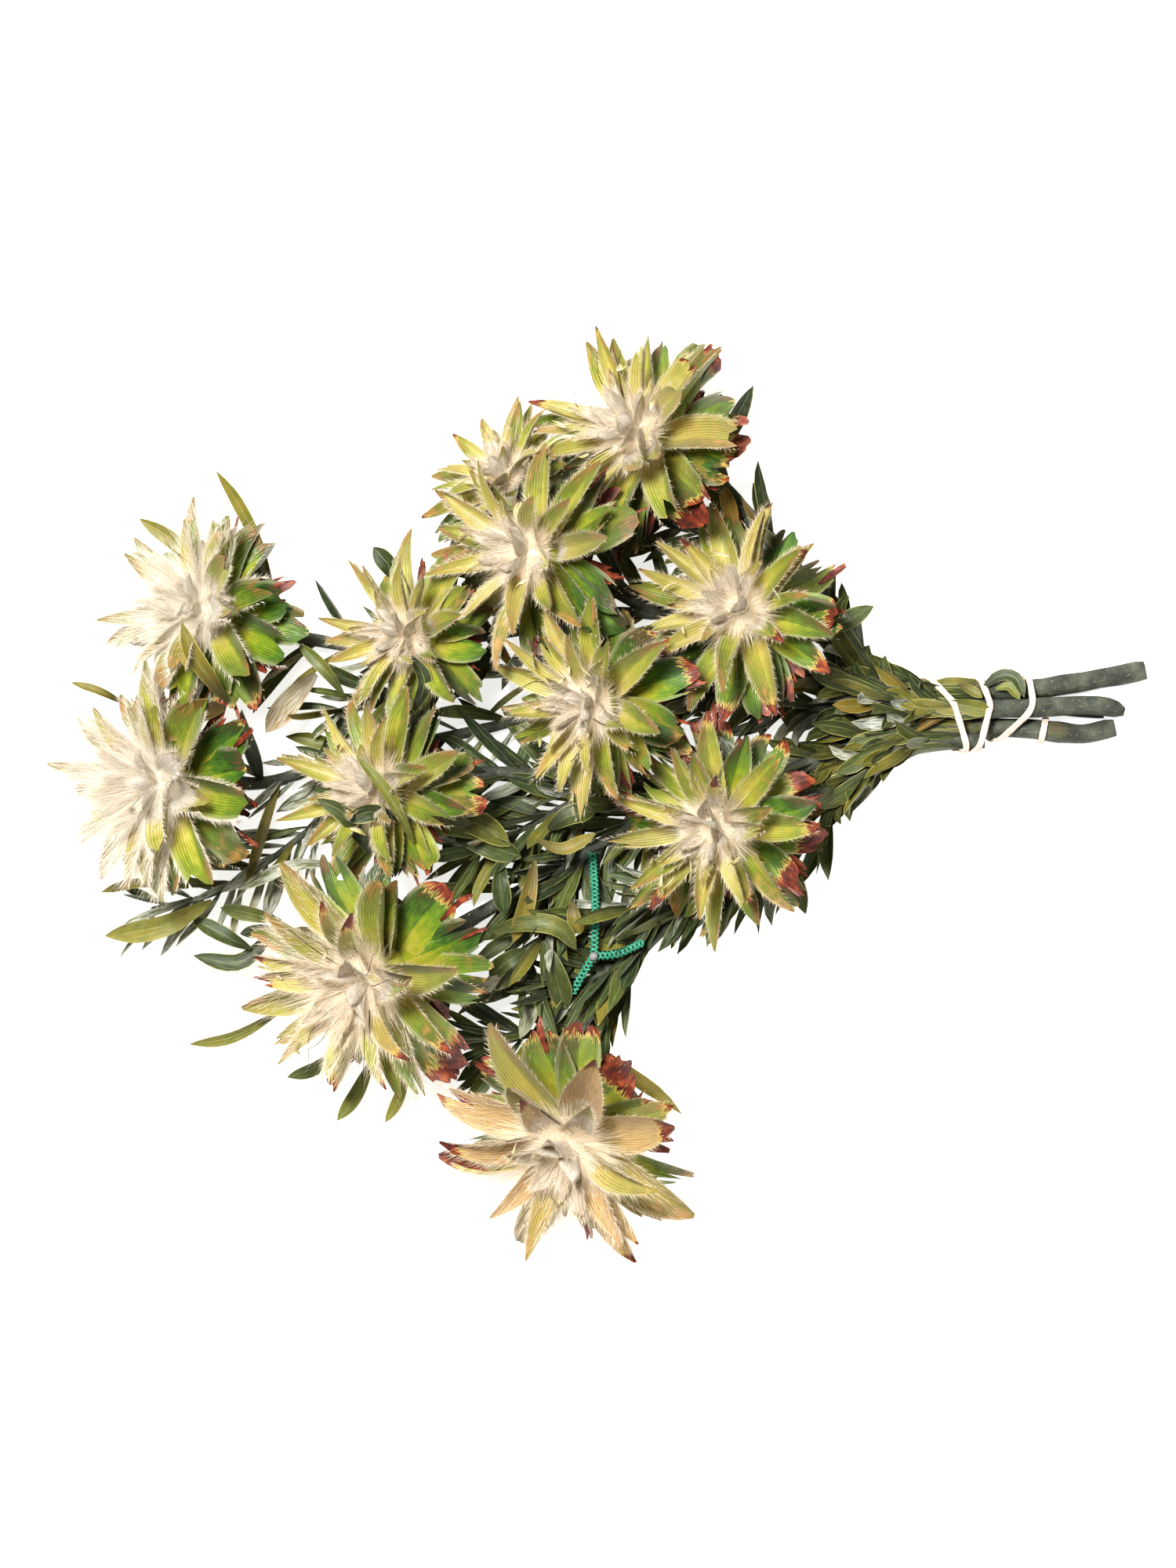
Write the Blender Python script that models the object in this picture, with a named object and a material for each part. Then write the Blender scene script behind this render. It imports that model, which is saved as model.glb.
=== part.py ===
"""A tied bunch of dried protea heads that lies on its side.

Twelve heads stand on five forked, leafy branches. Rubber bands hold the branches together
near their cut ends, and a scrap of green netting is caught in the foliage. The cut ends
point along +X, and +Z is up. Lengths are in millimetres until a mesh is made, in metres.
"""
import math
import random
from collections import namedtuple

import bmesh
import bpy
import numpy as np
from mathutils.bvhtree import BVHTree

MM = 0.001
GAP = 0.3
CLEARANCE = 1.0
GOLDEN_TURN = math.radians(137.508)

# Heads: where the crown is seen from above, the height of the receptacle's middle (None
# where the head lies on the table), the way it leans in plan, its tilt from upright, and its
# size against a head about 105 mm across
Head = namedtuple("Head", "x y height lean tilt size")
HEADS = {
    "head_01": Head(12, 170, None, 150, 41, 1.12),
    "head_02": Head(-46, 151, None, 125, 52, 0.84),
    "head_03": Head(-38, 113, 60, 175, 40, 1.09),
    "head_04": Head(60, 89, 52, 145, 27, 1.07),
    "head_05": Head(-187, 88, None, 160, 40, 1.02),
    "head_06": Head(-206, 7, None, 185, 42, 1.07),
    "head_07": Head(-93, 76, 44, 175, 44, 0.90),
    "head_08": Head(-9, 43, 66, 190, 36, 1.00),
    "head_09": Head(-106, 6, 47, 165, 39, 1.00),
    "head_10": Head(49, -14, 52, 205, 26, 1.06),
    "head_11": Head(-112, -85, None, 210, 41, 1.25),
    "head_12": Head(-17, -162, None, 245, 36, 1.32),
}
CROWN_RISE = 14.0
RECEPTACLE_SIDES = 8
# Height along the head's axis and radius, from the flat base to the crown
RECEPTACLE = ((-14.0, 4.3), (-9.0, 8.6), (-2.0, 10.6), (5.0, 8.4), (9.0, 3.4))
BASE_HEIGHT = RECEPTACLE[0][0]

# Blade outlines: (place along the blade, share of the full width), and how the end is made
Form = namedtuple("Form", "stations end")
SPEAR = Form(((0.0, 0.50), (0.55, 1.0)), "point")
KITE = Form(((0.0, 0.22), (0.50, 1.0)), "point")
LANCE = Form(((0.0, 0.22), (0.42, 1.0), (0.76, 0.66)), "point")
TORN = Form(((0.0, 0.22), (0.54, 1.0), (1.0, 0.62)), "torn")
LEAF = Form(((0.0, 0.20), (0.62, 1.0)), "point")
LONG_LEAF = Form(((0.0, 0.20), (0.42, 0.84), (0.76, 1.0)), "point")
BLADE_THICKNESS = 1.8
NOTCH_DEPTH = 0.10

# Rows of bracts: how many, the seat's height on the axis and distance from it, the angles
# from the axis at the root and at the tip, length, width and outline
Row = namedtuple("Row", "name count seat_height seat_radius rise fall length width form")
ROWS = (
    Row("crown", 4, 6.0, 1.8, 12, 24, 26, 8.0, SPEAR),
    Row("inner", 7, 2.0, 4.5, 34, 60, 46, 10.5, KITE),
    Row("middle", 8, -3.0, 6.0, 58, 84, 48, 13.5, LANCE),
    Row("outer", 6, -8.0, 5.0, 78, 108, 44, 20.0, TORN),
)
# Ranges of the seeded draws: turn about the axis, lift from it, roll and curl in degrees, and
# length and width as shares
Draw = namedtuple("Draw", "turn lift length width roll curl")
BRACT_DRAW = Draw((-9, 9), (-6, 6), (0.90, 1.07), (0.86, 1.14), (-14, 14), (-7, 9))
LEAF_DRAW = Draw((-14, 14), (-4, 8), (0.8, 1.2), (0.85, 1.15), (-18, 18), (-12, 12))
PLACE_DRAW = (-0.3, 0.3)

# Changes tried in turn until a bract stands clear of the other nodes: share of its length,
# turn round the axis and swing away from it, in degrees
BRACT_TRIES = tuple(
    (share, turn, swing)
    for share in (1.0, 0.86, 0.72, 0.58)
    for turn in (0, -7, 7, -14, 14)
    for swing in (0, -9, 9, -18, 18)
)

# The bunch's outline seen from above, which no bract or leaf crosses
OUTLINE = (
    (-28, 218), (56, 216), (75, 191), (71, 159), (87, 121), (112, 108), (127, 89), (118, 74),
    (149, 54), (256, 71), (256, 22), (149, 24), (115, -6), (98, -47), (56, -70), (21, -70),
    (13, -90), (13, -120), (36, -129), (43, -158), (57, -177), (36, -217), (-21, -217),
    (-69, -177), (-90, -130), (-121, -154), (-193, -115), (-232, -65), (-255, 5), (-236, 77),
    (-230, 111), (-211, 136), (-187, 155), (-175, 155), (-150, 130), (-148, 91), (-121, 108),
    (-90, 121), (-78, 152), (-48, 184), (-28, 189),
)

# Branches: each shoot has its own name, the head at its far end (None at a bare tip) and a
# hand-laid route (x, y, height, radius); forks and twigs start inside the shoot they leave
Shoot = namedtuple("Shoot", "name head route")
BRANCHES = {
    "branch_a": (
        Shoot("stem", "head_01", (
            (250, 59.8, 4.6, 4.6), (232, 56.4, 4.6, 4.6), (217, 53.8, 4.6, 4.6),
            (200, 51.4, 6.1, 4.6), (180, 50.5, 6.1, 4.6), (160, 50.5, 6.1, 4.6),
            (144, 50.9, 6.3, 4.5), (125, 58, 10, 4.2), (108, 81, 17, 3.9), (88, 107, 21, 3.7),
            (66, 132, 22, 3.6), (48, 151, 24, 3.5),
        )),
        Shoot("fork_1", "head_04", (
            (110, 77, 16.5, 3), (98, 84, 22, 3), (84, 88, 28, 3.2),
        )),
        Shoot("fork_2", "head_02", (
            (90, 104, 20.5, 2.8), (70, 116, 15, 2.8), (35, 127, 10, 2.9), (0, 134, 9, 3),
        )),
    ),
    "branch_b": (
        Shoot("stem", "head_03", (
            (240, 40.6, 14.4, 4.2), (229, 43.4, 13.6, 4.4), (214, 43.4, 12.7, 4.4),
            (200, 42.5, 12.5, 4.4), (180, 42, 12.5, 4.4), (160, 42, 12.5, 4.4),
            (144, 43, 13.2, 4.2), (122, 50, 17, 4.1), (88, 63, 16, 3.8), (48, 77, 12, 3.6),
            (15, 92, 11, 3.6), (-4, 104, 16, 3.5),
        )),
        Shoot("fork_1", "head_08", (
            (96, 60, 16.5, 3), (68, 55, 20, 3), (40, 47, 29, 3.2),
        )),
        Shoot("fork_2", "head_07", (
            (30, 85, 11.5, 2.6), (0, 86, 10, 2.6), (-32, 79, 10, 2.8),
        )),
    ),
    "branch_c": (
        Shoot("stem", "head_05", (
            (231, 40.2, 4.8, 2.8), (214, 41.6, 4.6, 2.9), (200, 42.2, 4.4, 2.9),
            (180, 41.9, 4.4, 2.9), (160, 41.9, 4.4, 2.9), (144, 42, 4.4, 2.9),
            (112, 42, 5.5, 2.9), (60, 45, 6, 2.9), (5, 52, 6, 2.9), (-55, 61, 6, 2.9),
            (-110, 70, 7, 2.9), (-145, 76, 11, 3),
        )),
        Shoot("fork_1", "head_06", (
            (2, 52.5, 6, 2.4), (-45, 35, 6, 2.5), (-105, 22, 7, 2.7), (-155, 8, 10, 3),
        )),
        Shoot("twig_1", None, (
            (-62, 62, 6, 1.5), (-92, 52, 12, 1.4), (-122, 40, 20, 1.2),
        )),
        Shoot("twig_2", None, (
            (-110, 21, 7, 1.6), (-138, -17, 9, 1.5), (-174, -41, 9, 1.4), (-206, -50, 8, 1.2),
        )),
    ),
    "branch_d": (
        Shoot("stem", "head_09", (
            (236, 33.4, 5.6, 4.3), (221, 30.6, 5.8, 4.4), (210, 31.4, 6.4, 5.1),
            (203, 32.2, 6.6, 4.4), (192, 33.2, 6, 4.4), (180, 33.4, 5.9, 4.4),
            (160, 33.4, 5.9, 4.4), (144, 32, 6.1, 4.3), (116, 24, 6.6, 4.1), (84, 13, 8, 3.9),
            (41, 7.5, 9, 3.7), (-2, 8, 10, 3.6), (-38, 12, 11, 3.5), (-62, 11, 14, 3.5),
        )),
        Shoot("fork_1", "head_11", (
            (36, 7, 9, 2.8), (0, -20, 8, 2.8), (-38, -42, 8, 2.9),
        )),
        Shoot("twig_1", None, (
            (-4, -22, 8, 1.5), (-22, -50, 17, 1.4), (-34, -82, 22, 1.2),
        )),
        Shoot("twig_2", None, (
            (0, 7, 10, 1.6), (-28, -9, 15, 1.4), (-58, -25, 19, 1.2),
        )),
    ),
    "branch_e": (
        Shoot("stem", "head_10", (
            (176, 27.2, 13, 3.6), (166, 27.3, 13, 3.6), (158, 27.3, 13, 3.6),
            (144, 26.2, 13.6, 3.6), (127, 19, 15, 3.6), (108, 5, 16, 3.5),
        )),
        Shoot("fork_1", "head_12", (
            (112, 8, 15.8, 3), (78, -23, 11, 3.1), (37, -52, 8, 3.1), (4, -84, 7, 3.1),
            (-5, -110, 8, 3.2),
        )),
        Shoot("twig_1", None, (
            (31, -57, 8, 1.6), (12, -74, 15, 1.4), (-18, -87, 20, 1.2),
        )),
        Shoot("twig_2", None, (
            (72, -27, 11, 1.6), (40, -40, 19, 1.5), (-8, -60, 22.4, 1.2),
        )),
        Shoot("twig_3", None, (
            (1.5, -90, 7, 1.5), (-20, -103, 9, 1.4), (-48, -112, 10, 1.2),
        )),
    ),
}
RING_SPACING = 30.0
# A shoot meets its head along a straight neck
NECK_REACH = 11.0
NECK_LENGTH = 9.0
NECK_SHARE = 0.86
STEM_SIDES = 8
FORK_SIDES = 6
TWIG_SIDES = 5

# Leaves along a shoot: from and to as distances in plan along its route (back from the head
# where negative), spacing, length, width, angle off the shoot at the root and at the tip
Spray = namedtuple("Spray", "branch shoot start end spacing length width rise fall form")
SHEATH = (30, 8.6, 48, 10, LEAF)
FOLIAGE = (39, 7.8, 46, 36, LONG_LEAF)
TWIG = (36, 6.8, 46, 34, LEAF)
COLLAR = (50, 7.6, 48, 58, LEAF)
SPRAYS = (
    Spray("branch_a", "stem", 101, 165, 5.4, *SHEATH),
    Spray("branch_b", "stem", 94, 170, 5.4, *SHEATH),
    Spray("branch_c", "stem", 88, 160, 7.0, *SHEATH),
    Spray("branch_d", "stem", 90, 165, 5.2, *SHEATH),
    Spray("branch_e", "stem", 34, 90, 5.2, *SHEATH),
    Spray("branch_a", "stem", 190, 250, 17.0, *FOLIAGE),
    Spray("branch_a", "fork_2", 25, 130, 18.0, *FOLIAGE),
    Spray("branch_b", "stem", 210, 285, 15.0, *FOLIAGE),
    Spray("branch_b", "fork_1", 14, 70, 18.0, *FOLIAGE),
    Spray("branch_b", "fork_2", 20, 90, 18.0, *FOLIAGE),
    Spray("branch_c", "stem", 250, 380, 24.0, *FOLIAGE),
    Spray("branch_c", "fork_1", 30, 150, 22.0, *FOLIAGE),
    Spray("branch_c", "twig_1", 8, 70, 8.5, *TWIG),
    Spray("branch_c", "twig_2", 8, 124, 9.0, *TWIG),
    Spray("branch_d", "stem", 230, 300, 14.0, *FOLIAGE),
    Spray("branch_d", "fork_1", 14, 100, 12.5, *FOLIAGE),
    Spray("branch_d", "twig_1", 8, 72, 7.2, *TWIG),
    Spray("branch_d", "twig_2", 8, 70, 8.6, *TWIG),
    Spray("branch_e", "fork_1", 12, 180, 15.5, *FOLIAGE),
    Spray("branch_e", "twig_1", 8, 68, 8.0, *TWIG),
    Spray("branch_e", "twig_2", 8, 92, 8.4, *TWIG),
    Spray("branch_e", "twig_3", 8, 72, 8.0, *TWIG),
    Spray("branch_a", "stem", -30, -4, 9.0, *COLLAR),
    Spray("branch_a", "fork_1", -24, -4, 9.0, *COLLAR),
    Spray("branch_b", "fork_2", -30, -4, 9.0, *COLLAR),
    Spray("branch_c", "stem", -40, -4, 9.0, *COLLAR),
    Spray("branch_c", "fork_1", -40, -4, 9.0, *COLLAR),
    Spray("branch_d", "stem", -30, -4, 9.0, *COLLAR),
    Spray("branch_d", "fork_1", -30, -4, 9.0, *COLLAR),
    Spray("branch_e", "stem", -24, -4, 9.0, *COLLAR),
    Spray("branch_e", "fork_1", -30, -4, 9.0, *COLLAR),
)
LEVELLING = 0.75
LOOK_AHEAD = 4.0
LEAF_TRIES = tuple(
    (share, turn, swing)
    for share in (1.0, 0.8, 0.62)
    for turn in (0, 28, -28, 56, -56, 90, -90, 130)
    for swing in (0, 12, -8)
)

# Rubber bands: the stems held, the band's place along X, its slant and how far its top
# bulges towards the cut ends
Band = namedtuple("Band", "stems x slant bulge")
BANDS = {
    "band_1": Band("abcde", 157, -0.32, 13.0),
    "band_2": Band("abcde", 171, 0.24, 13.0),
    "band_3": Band("abcd", 190, 0.50, 14.0),
    "band_4": Band("d", 203, 0.25, 0.0),
}
BAND_WIDTH = 3.0
BAND_THICKNESS = 1.2
BAND_STEP = 6.0

# Netting: a strand that forks once, hand-laid over a fork and two twigs
NET_STRANDS = (
    ((-3.6, -24, 12.75), (-2.8, -37, 19), (-2.4, -50, 25.2), (-2.6, -60, 27.6), (-3.2, -71, 27)),
    ((-3.2, -71, 27), (-8, -79, 25.6), (-13, -88, 24.4)),
    ((-3.2, -71, 27), (8, -70, 25), (19.4, -64.8, 22)),
)
NET_RADIUS = 1.9
NET_SIDES = 6
FLAT_ANGLE = math.radians(0.2)


def unit(v):
    """Return the vector at length one."""
    return v / np.linalg.norm(v)


def polar(angle, axis, out):
    """Return the direction at an angle from axis towards out."""
    return math.cos(angle) * axis + math.sin(angle) * out


def head_axis(head):
    """Return the way a head faces."""
    lean = math.radians(head.lean)
    flat = np.array((math.cos(lean), math.sin(lean), 0.0))
    return polar(math.radians(head.tilt), np.array((0.0, 0.0, 1.0)), flat)


def radials(axis):
    """Return two directions square to the axis and to each other, the first one level."""
    level = unit(np.cross((0.0, 0.0, 1.0), axis))
    return level, np.cross(axis, level)


def arc_point(root, axis, out, rise, fall, length, s):
    """Return the place and direction at share s along an arc that swings from rise to fall."""
    swing = fall - rise
    if abs(swing) < 1e-3:
        swing = 1e-3
    turn = rise + swing * s
    along = (math.sin(turn) - math.sin(rise)) / swing
    aside = (math.cos(rise) - math.cos(turn)) / swing
    return root + length * (along * axis + aside * out), polar(turn, axis, out)


def blade(root, axis, out, rise, fall, length, width, roll, form, spare=0.0):
    """Return points and triangles of a keeled blade; spare makes it fatter all over."""
    side_flat = np.cross(out, axis)
    points = []
    for s, share in form.stations:
        place, along = arc_point(root, axis, out, rise, fall, length + spare, s)
        upper = np.cross(side_flat, along)
        side = math.cos(roll) * side_flat + math.sin(roll) * upper
        normal = np.cross(side, along)
        half = 0.5 * (width * share + spare)
        notch = NOTCH_DEPTH * length * along if form.end == "torn" and s == 1.0 else 0.0
        points += [place - half * side + 0.5 * spare * normal,
                   place + half * side + 0.5 * spare * normal,
                   place - (BLADE_THICKNESS + 0.5 * spare) * normal - notch]
    rings = len(form.stations)
    faces = [(0, 1, 2)]
    for ring in range(rings - 1):
        left, right, keel = range(3 * ring, 3 * ring + 3)
        faces += [(left, right + 3, right), (left, left + 3, right + 3),
                  (left, keel + 3, left + 3), (left, keel, keel + 3),
                  (right, right + 3, keel + 3), (right, keel + 3, keel)]
    left, right, keel = range(3 * rings - 3, 3 * rings)
    if form.end == "point":
        tip, _ = arc_point(root, axis, out, rise, fall, length + spare, 1.0)
        points.append(tip)
        end = 3 * rings
        faces += [(left, end, right), (right, end, keel), (keel, end, left)]
    else:
        faces.append((left, keel, right))
    return np.array(points), faces


def tube(points, radii, sides):
    """Return points and faces of a tube of flat-bottomed rings along a route."""
    points = np.asarray(points, dtype=float)
    ahead = np.gradient(points, axis=0)
    turns = (np.arange(sides) + 0.5) * 2.0 * math.pi / sides - 0.5 * math.pi
    rings = []
    for place, way, radius in zip(points, ahead, radii):
        level, upper = radials(unit(way))
        corner = radius / math.cos(math.pi / sides)
        rings.append(place + corner * (np.outer(np.cos(turns), level) + np.outer(np.sin(turns), upper)))
    return np.concatenate(rings), lofted(len(points), sides)


def lofted(rings, sides):
    """Return the faces of a closed stack of rings, split into triangles, with flat ends."""
    faces = []
    for ring in range(rings - 1):
        for k in range(sides):
            a, b = ring * sides + k, ring * sides + (k + 1) % sides
            faces += [(a, b, b + sides), (a, b + sides, a + sides)]
    faces.append(tuple(reversed(range(sides))))
    faces.append(tuple(range((rings - 1) * sides, rings * sides)))
    return faces


def smooth_route(route):
    """Return rings along a Catmull-Rom curve: every given point, and more where they are far apart."""
    route = np.asarray(route, dtype=float)
    padded = np.vstack((2 * route[0] - route[1], route, 2 * route[-1] - route[-2]))
    rings = [route[0]]
    for k in range(1, len(route)):
        before, start, end, after = padded[k - 1:k + 3]
        steps = max(1, round(np.linalg.norm(end[:3] - start[:3]) / RING_SPACING))
        for step in range(1, steps + 1):
            t = step / steps
            rings.append(0.5 * (2 * start + (end - before) * t
                                + (2 * before - 5 * start + 4 * end - after) * t ** 2
                                + (3 * start - before - 3 * end + after) * t ** 3))
    return np.array(rings)


class Space:
    """The solids placed so far, with their boxes, for testing what is added."""

    def __init__(self):
        self.nodes = []
        self.lows = np.empty((0, 3))
        self.highs = np.empty((0, 3))
        self.trees = []

    def add(self, node, points, faces):
        """Keep one solid of a node."""
        self.nodes.append(node)
        self.lows = np.vstack((self.lows, points.min(axis=0)))
        self.highs = np.vstack((self.highs, points.max(axis=0)))
        self.trees.append(BVHTree.FromPolygons(points.tolist(), faces))

    def is_clear(self, node, points, faces):
        """Say whether a solid keeps off every other node."""
        near = np.all((self.lows <= points.max(axis=0)) & (self.highs >= points.min(axis=0)), axis=1)
        rivals = [k for k in np.flatnonzero(near) if self.nodes[k] != node]
        if not rivals:
            return True
        tree = BVHTree.FromPolygons(points.tolist(), faces)
        return not any(tree.overlap(self.trees[k]) for k in rivals)


def receptacle(middle, axis, size):
    """Return points and faces of a head's core, turned about its axis."""
    level, upper = radials(axis)
    turns = np.arange(RECEPTACLE_SIDES) * 2.0 * math.pi / RECEPTACLE_SIDES
    circle = np.outer(np.cos(turns), level) + np.outer(np.sin(turns), upper)
    points = [middle + size * height * axis + size * radius * circle for height, radius in RECEPTACLE]
    return np.concatenate(points), lofted(len(RECEPTACLE), RECEPTACLE_SIDES)


def bract(name, head, middle, row, number, change=(1.0, 0, 0), spare=0.0):
    """Return one bract of a head; each has its own seeded draw, whatever order they are made in."""
    draw = random.Random(f"{name} {row.name} {number}")
    share, turn, swing = change
    first = sum(ord(letter) for letter in name + row.name)
    aside = math.radians(draw.uniform(*BRACT_DRAW.turn) + turn)
    azimuth = first + 2.0 * math.pi * number / row.count + aside
    lift = draw.uniform(*BRACT_DRAW.lift) + swing
    axis = head_axis(head)
    level, upper = radials(axis)
    out = math.cos(azimuth) * level + math.sin(azimuth) * upper
    root = middle + head.size * (row.seat_height * axis + row.seat_radius * out)
    length = head.size * row.length * draw.uniform(*BRACT_DRAW.length) * share
    width = head.size * row.width * draw.uniform(*BRACT_DRAW.width)
    roll = math.radians(draw.uniform(*BRACT_DRAW.roll))
    curl = draw.uniform(*BRACT_DRAW.curl)
    return blade(root, axis, out, math.radians(row.rise + lift), math.radians(row.fall + lift + curl),
                 length, width, roll, row.form, spare)


def settle_heads():
    """Return the middle of each head's receptacle, dropped to the table where it lies there."""
    middles = {}
    for name, head in HEADS.items():
        offset = np.array((head.x, head.y, 0.0)) - CROWN_RISE * head.size * head_axis(head)
        middle = np.array((offset[0], offset[1], head.height or 0.0))
        if head.height is None:
            unchanged = [bract(name, head, middle, row, k)[0] for row in ROWS for k in range(row.count)]
            middle[2] -= min(points[:, 2].min() for points in unchanged)
        middles[name] = middle
    return middles


def is_inside(points):
    """Say whether every point lies inside the bunch's outline in plan."""
    starts = np.array(OUTLINE, dtype=float)
    ends = np.roll(starts, -1, axis=0)
    x, y = points[:, 0, None], points[:, 1, None]
    spans = (starts[:, 1] > y) != (ends[:, 1] > y)
    rise = np.where(ends[:, 1] == starts[:, 1], 1.0, ends[:, 1] - starts[:, 1])
    crossing = starts[:, 0] + (y - starts[:, 1]) * (ends[:, 0] - starts[:, 0]) / rise
    return bool(np.all(np.sum(spans & (x < crossing), axis=1) % 2 == 1))


def is_free(space, node, lowest, bare, fattened):
    """Say whether a blade is off the table, inside the outline and clear of the other nodes."""
    points = bare[0]
    if points[:, 2].min() < lowest - 1e-6 or not is_inside(points):
        return False
    return space.is_clear(node, *bare) and space.is_clear(node, *fattened)


def grow(space, parts, node, tries, lowest, make):
    """Add a blade to a node by the first change that leaves it free."""
    for change in tries:
        points, faces = make(change, 0.0)
        if is_free(space, node, lowest, (points, faces), make(change, CLEARANCE)):
            space.add(node, points, faces)
            parts[node].append((points, faces))
            return


def grow_bracts(space, parts, middles):
    """Add every row of bracts, the crowns first, to all heads in turn."""
    for row in ROWS:
        for name, head in HEADS.items():
            for number in range(row.count):
                grow(space, parts, name, BRACT_TRIES, 0.0,
                     lambda change, spare: bract(name, head, middles[name], row, number, change, spare))


def shoot_rings(shoot, middles):
    """Return a shoot's rings; one that carries a head ends square to the head's flat base."""
    route = [list(point) for point in shoot.route]
    if shoot.head:
        head, middle = HEADS[shoot.head], middles[shoot.head]
        axis = head_axis(head)
        end = middle + (BASE_HEIGHT * head.size - GAP) * axis
        radius = RECEPTACLE[0][1] * head.size * NECK_SHARE
        route.append([*(end - NECK_REACH * axis), radius])
        route.append([*end, radius])
    rings = smooth_route(route)
    if shoot.head:
        rings[-2, :3] = rings[-1, :3] - NECK_LENGTH * head_axis(HEADS[shoot.head])
    return rings


def shoot_sides(name):
    """Return how many sides a shoot's rings have."""
    if name == "stem":
        return STEM_SIDES
    return FORK_SIDES if name.startswith("fork") else TWIG_SIDES


def level_roll(axis, out, angle):
    """Return the roll that turns most of a blade's upper face to the sky."""
    side = np.cross(out, axis)
    upper = np.cross(side, polar(angle, axis, out))
    return LEVELLING * math.atan2(-side[2], upper[2])


def leaf(spray, rings, number, change=(1.0, 0, 0), spare=0.0):
    """Return one leaf of a spray, rooted on the middle line of its shoot."""
    draw = random.Random(f"{spray.branch} {spray.shoot} {spray.start} {number}")
    share, turn, swing = change
    steps = np.linalg.norm(np.diff(rings[:, :2], axis=0), axis=1)
    travelled = np.concatenate(([0.0], np.cumsum(steps)))
    start = spray.start if spray.start > 0 else travelled[-1] + spray.start
    where = start + spray.spacing * (number + draw.uniform(*PLACE_DRAW))
    where = min(where, travelled[-1] - LOOK_AHEAD)
    root = np.array([np.interp(where, travelled, rings[:, k]) for k in range(3)])
    ahead = np.array([np.interp(where + LOOK_AHEAD, travelled, rings[:, k]) for k in range(3)])
    way = unit(ahead - root)
    level, upper = radials(way)
    azimuth = number * GOLDEN_TURN + math.radians(draw.uniform(*LEAF_DRAW.turn) + turn)
    out = math.cos(azimuth) * level + math.sin(azimuth) * upper
    length = spray.length * draw.uniform(*LEAF_DRAW.length) * share
    width = spray.width * draw.uniform(*LEAF_DRAW.width)
    rise = math.radians(spray.rise + draw.uniform(*LEAF_DRAW.lift) + swing)
    fall = math.radians(spray.fall + draw.uniform(*LEAF_DRAW.curl) + swing)
    roll = level_roll(way, out, 0.5 * (rise + fall)) + math.radians(draw.uniform(*LEAF_DRAW.roll))
    return blade(root, way, out, rise, fall, length, width, roll, spray.form, spare)


def grow_leaves(space, parts, shoots):
    """Add the leaves of every spray, each where it is clear of the other nodes."""
    for spray in SPRAYS:
        rings = shoots[spray.branch, spray.shoot]
        for number in range(int((spray.end - spray.start) / spray.spacing)):
            grow(space, parts, spray.branch, LEAF_TRIES, GAP,
                 lambda change, spare: leaf(spray, rings, number, change, spare))


def hull(points):
    """Return the convex outline of points in a plane, counter-clockwise."""
    points = sorted(map(tuple, points))

    def bends_left(a, b, c):
        return (b[0] - a[0]) * (c[1] - b[1]) - (b[1] - a[1]) * (c[0] - b[0]) > 1e-9

    def chain(run):
        line = []
        for p in run:
            while len(line) > 1 and not bends_left(line[-2], line[-1], p):
                line.pop()
            line.append(p)
        return line[:-1]

    return np.array(chain(points) + chain(reversed(points)))


def stem_section(rings, x):
    """Return the corners of a stem's outline in the plane at x, as (y, z) pairs."""
    order = np.argsort(rings[:, 0])
    y, z, radius = (np.interp(x, rings[order, 0], rings[order, k]) for k in (1, 2, 3))
    turns = (np.arange(STEM_SIDES) + 0.5) * 2.0 * math.pi / STEM_SIDES
    corner = radius / math.cos(math.pi / STEM_SIDES)
    return np.column_stack((y + corner * np.cos(turns), z + corner * np.sin(turns)))


def band_ring(band, shoots):
    """Return points and faces of a rubber band stretched round its stems."""
    reach = 0.5 * (abs(band.bulge) + BAND_WIDTH)
    places = (band.x - reach, band.x, band.x + reach)
    stems = [shoots[f"branch_{letter}", "stem"] for letter in band.stems]
    around = hull(np.concatenate([stem_section(stem, x) for stem in stems for x in places]))
    line = []
    for start, end in zip(around, np.roll(around, -1, axis=0)):
        steps = max(1, round(np.linalg.norm(end - start) / BAND_STEP))
        line += [start + (end - start) * k / steps for k in range(steps)]
    line = np.array(line)
    edges = np.roll(line, -1, axis=0) - line
    outward = np.column_stack((edges[:, 1], -edges[:, 0])) / np.linalg.norm(edges, axis=1)[:, None]
    before = np.roll(outward, 1, axis=0)
    corner = (outward + before) / (1.0 + np.sum(outward * before, axis=1))[:, None]
    low, high = line[:, 1].min(), line[:, 1].max()
    lift = (line[:, 1] - low) / (high - low)
    middle = 0.5 * (line[:, 0].min() + line[:, 0].max())
    x = band.x + band.slant * (line[:, 0] - middle) + band.bulge * (lift - 0.5)
    points = []
    for k in range(len(line)):
        for away, along in ((GAP, -0.5), (GAP + BAND_THICKNESS, -0.5),
                            (GAP + BAND_THICKNESS, 0.5), (GAP, 0.5)):
            y, z = line[k] + away * corner[k]
            points.append((x[k] + along * BAND_WIDTH, y, z))
    count = len(line)
    faces = []
    for k in range(count):
        for c in range(4):
            a, b = 4 * k + c, 4 * k + (c + 1) % 4
            a_next, b_next = 4 * ((k + 1) % count) + c, 4 * ((k + 1) % count) + (c + 1) % 4
            faces += [(a, b, b_next), (a, b_next, a_next)]
    return np.array(points), faces


def net_strands():
    """Return the tubes of the netting scrap."""
    tubes = []
    for strand in NET_STRANDS:
        rings = smooth_route([(*place, NET_RADIUS) for place in strand])
        tubes.append(tube(rings[:, :3], rings[:, 3], NET_SIDES))
    return tubes


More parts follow.
